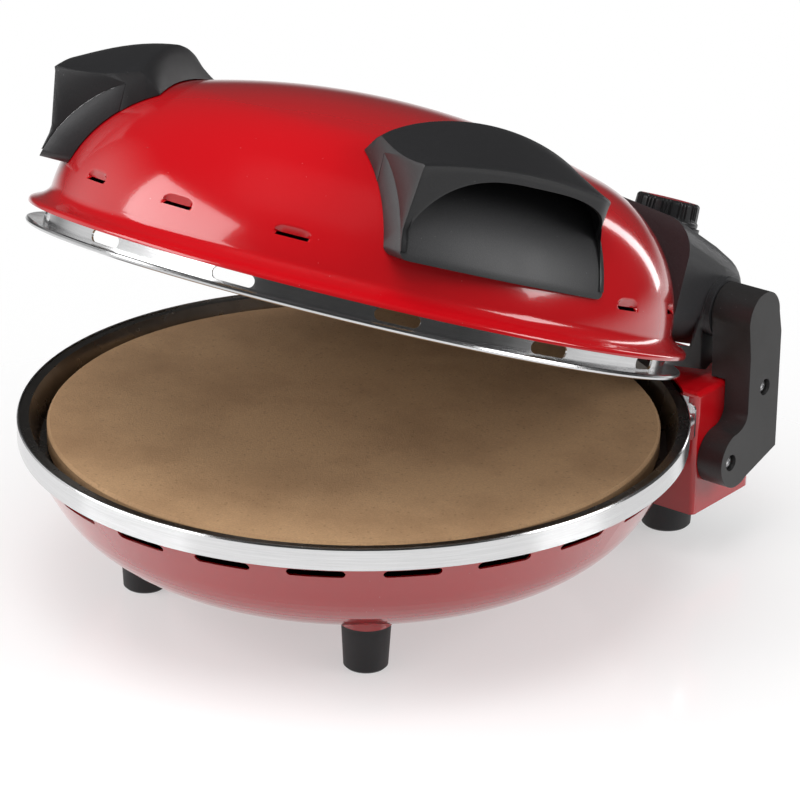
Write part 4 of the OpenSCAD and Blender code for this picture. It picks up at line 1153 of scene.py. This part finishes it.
class OVEN_OT_stage(bpy.types.Operator):
    """Set up the camera, the pale floor, the white surroundings and the softboxes"""

    bl_idname = "oven.stage"
    bl_label = "Build Stage"

    def execute(self, context):
        scene = context.scene
        scene.view_settings.view_transform = "Standard"
        self.camera(scene)
        self.world(scene)
        self.floor()
        for softbox in SOFTBOXES:
            self.lamp(*softbox)
        return {"FINISHED"}

    def camera(self, scene):
        data = bpy.data.cameras.new("Eye")
        data.lens, data.sensor_width = LENS, 36.0
        data.clip_start, data.clip_end = 0.05, 60.0
        turn = Matrix((EYE_RIGHT, EYE_UP, EYE_BACK)).transposed().to_4x4()
        eye = placed("Eye", data)
        eye.matrix_world = Matrix.Translation(EYE) @ turn
        scene.camera = eye

    def world(self, scene):
        """White where it is seen; in reflections white on the left and dim elsewhere; else a plain light."""
        world = bpy.data.worlds.new("Studio")
        world.use_nodes = True
        scene.world = world
        tree = world.node_tree
        back = tree.nodes["Background"]
        path = tree.nodes.new("ShaderNodeLightPath").outputs
        way = tree.nodes.new("ShaderNodeTexCoord").outputs["Generated"]
        height = wire(tree, "ShaderNodeSeparateXYZ", [("Vector", way)]).outputs["Z"]
        rightward = wire(tree, "ShaderNodeVectorMath", [(0, way), (1, EYE_RIGHT)], operation="DOT_PRODUCT")
        side = rightward.outputs["Value"]
        above = ranged(tree, height, (0.25, 0.75), (1.0, 0.0), "SMOOTHSTEP")
        left = ranged(tree, side, (-0.95, -0.45), (0.85, 0.0), "SMOOTHSTEP")
        below = ranged(tree, height, (-0.30, -0.10), (0.85, 0.05), "SMOOTHSTEP")
        mirrored = calc(tree, "MAXIMUM", calc(tree, "MULTIPLY", above, left), below)
        links = [("Factor", path["Is Glossy Ray"]), ("A", settings().stage.sky), ("B", mirrored)]
        light = wire(tree, "ShaderNodeMix", links).outputs[0]
        seen = calc(tree, "MAXIMUM", path["Is Camera Ray"], path["Is Transmission Ray"])
        tree.links.new(calc(tree, "MAXIMUM", light, seen), back.inputs["Strength"])
        back.inputs["Color"].default_value = (1, 1, 1, 1)

    def floor(self):
        """A pale gloss sheet that fades into the white round it."""
        f = Finish("Floor sheet")
        tree = f.tree
        path = tree.nodes.new("ShaderNodeLightPath").outputs
        seen = calc(tree, "MAXIMUM", path["Is Camera Ray"], path["Is Glossy Ray"])
        f.put(Base_Color=(FLOOR_GREY, FLOOR_GREY, FLOOR_GREY, 1), Roughness=0.12,
              Emission_Color=(1, 1, 1, 1), Emission_Strength=calc(tree, "MULTIPLY", seen, FLOOR_GLOW))
        far = wire(tree, "ShaderNodeVectorMath", [(0, f.coords)], operation="LENGTH").outputs["Value"]
        fade = ranged(tree, far, (FLOOR_NEAR, FLOOR_FAR), curve="SMOOTHSTEP")
        clear = tree.nodes.new("ShaderNodeBsdfTransparent").outputs[0]
        blend = wire(tree, "ShaderNodeMixShader", [("Fac", fade), (1, f.shader.outputs[0]), (2, clear)])
        tree.links.new(blend.outputs[0], tree.nodes["Material Output"].inputs["Surface"])
        reach = FLOOR_FAR + 0.1
        edge = [(reach * math.cos(a), reach * math.sin(a), 0) for a in spread(0.0, 2 * math.pi, 96)[:-1]]
        floor = mesh_piece("floor", edge, [range(96)], Matrix.Identity(4), f.material)
        floor.location = FLOOR_MIDDLE

    def lamp(self, name, place, size, key, fill, mirrored):
        s = settings().stage
        data = bpy.data.lights.new(name, "AREA")
        data.shape, (data.size, data.size_y) = "RECTANGLE", size
        data.energy = s.key * key + s.fill * fill
        lamp = placed(name, data)
        look = (TARGET - Vector(place)).to_track_quat("-Z", "Y").to_matrix().to_4x4()
        lamp.matrix_world = Matrix.Translation(place) @ look
        lamp.visible_glossy = mirrored
        return lamp


# ---- Panel and registration ----


class OVEN_PT_panel(bpy.types.Panel):
    """The oven's settings and operators"""

    bl_idname = "OVEN_PT_panel"
    bl_label = "Pizza Oven"
    bl_space_type = "VIEW_3D"
    bl_region_type = "UI"
    bl_category = "Pizza Oven"

    def draw(self, context):
        oven = settings()
        for name in ("paint", "metal", "plastic", "stone", "vents", "knob", "stage"):
            group = getattr(oven, name)
            box = self.layout.box()
            box.label(text=name.capitalize())
            for key in group.__annotations__:
                box.prop(group, key)
        for operator in OPERATORS:
            self.layout.operator(operator.bl_idname)


OPERATORS = (OVEN_OT_surfaces, OVEN_OT_dome, OVEN_OT_handles, OVEN_OT_housing, OVEN_OT_knob, OVEN_OT_arms,
             OVEN_OT_screws, OVEN_OT_stage)
GROUPS = (OvenPaint, OvenMetal, OvenPlastic, OvenStone, OvenVents, OvenKnob, OvenStage, OvenSettings)
CLASSES = GROUPS + OPERATORS + (OVEN_PT_panel,)


def register():
    for cls in CLASSES:
        bpy.utils.register_class(cls)
    bpy.types.Scene.pizza_oven = PointerProperty(type=OvenSettings)


def unregister():
    FINISHES.clear()
    del bpy.types.Scene.pizza_oven
    for cls in reversed(CLASSES):
        bpy.utils.unregister_class(cls)


def main():
    register()
    bpy.ops.oven.surfaces()
    bpy.ops.oven.dome()
    bpy.ops.oven.handles()
    bpy.ops.oven.housing()
    bpy.ops.oven.knob()
    bpy.ops.oven.arms()
    bpy.ops.oven.screws()
    bpy.ops.oven.stage()


if __name__ == "__main__":
    main()
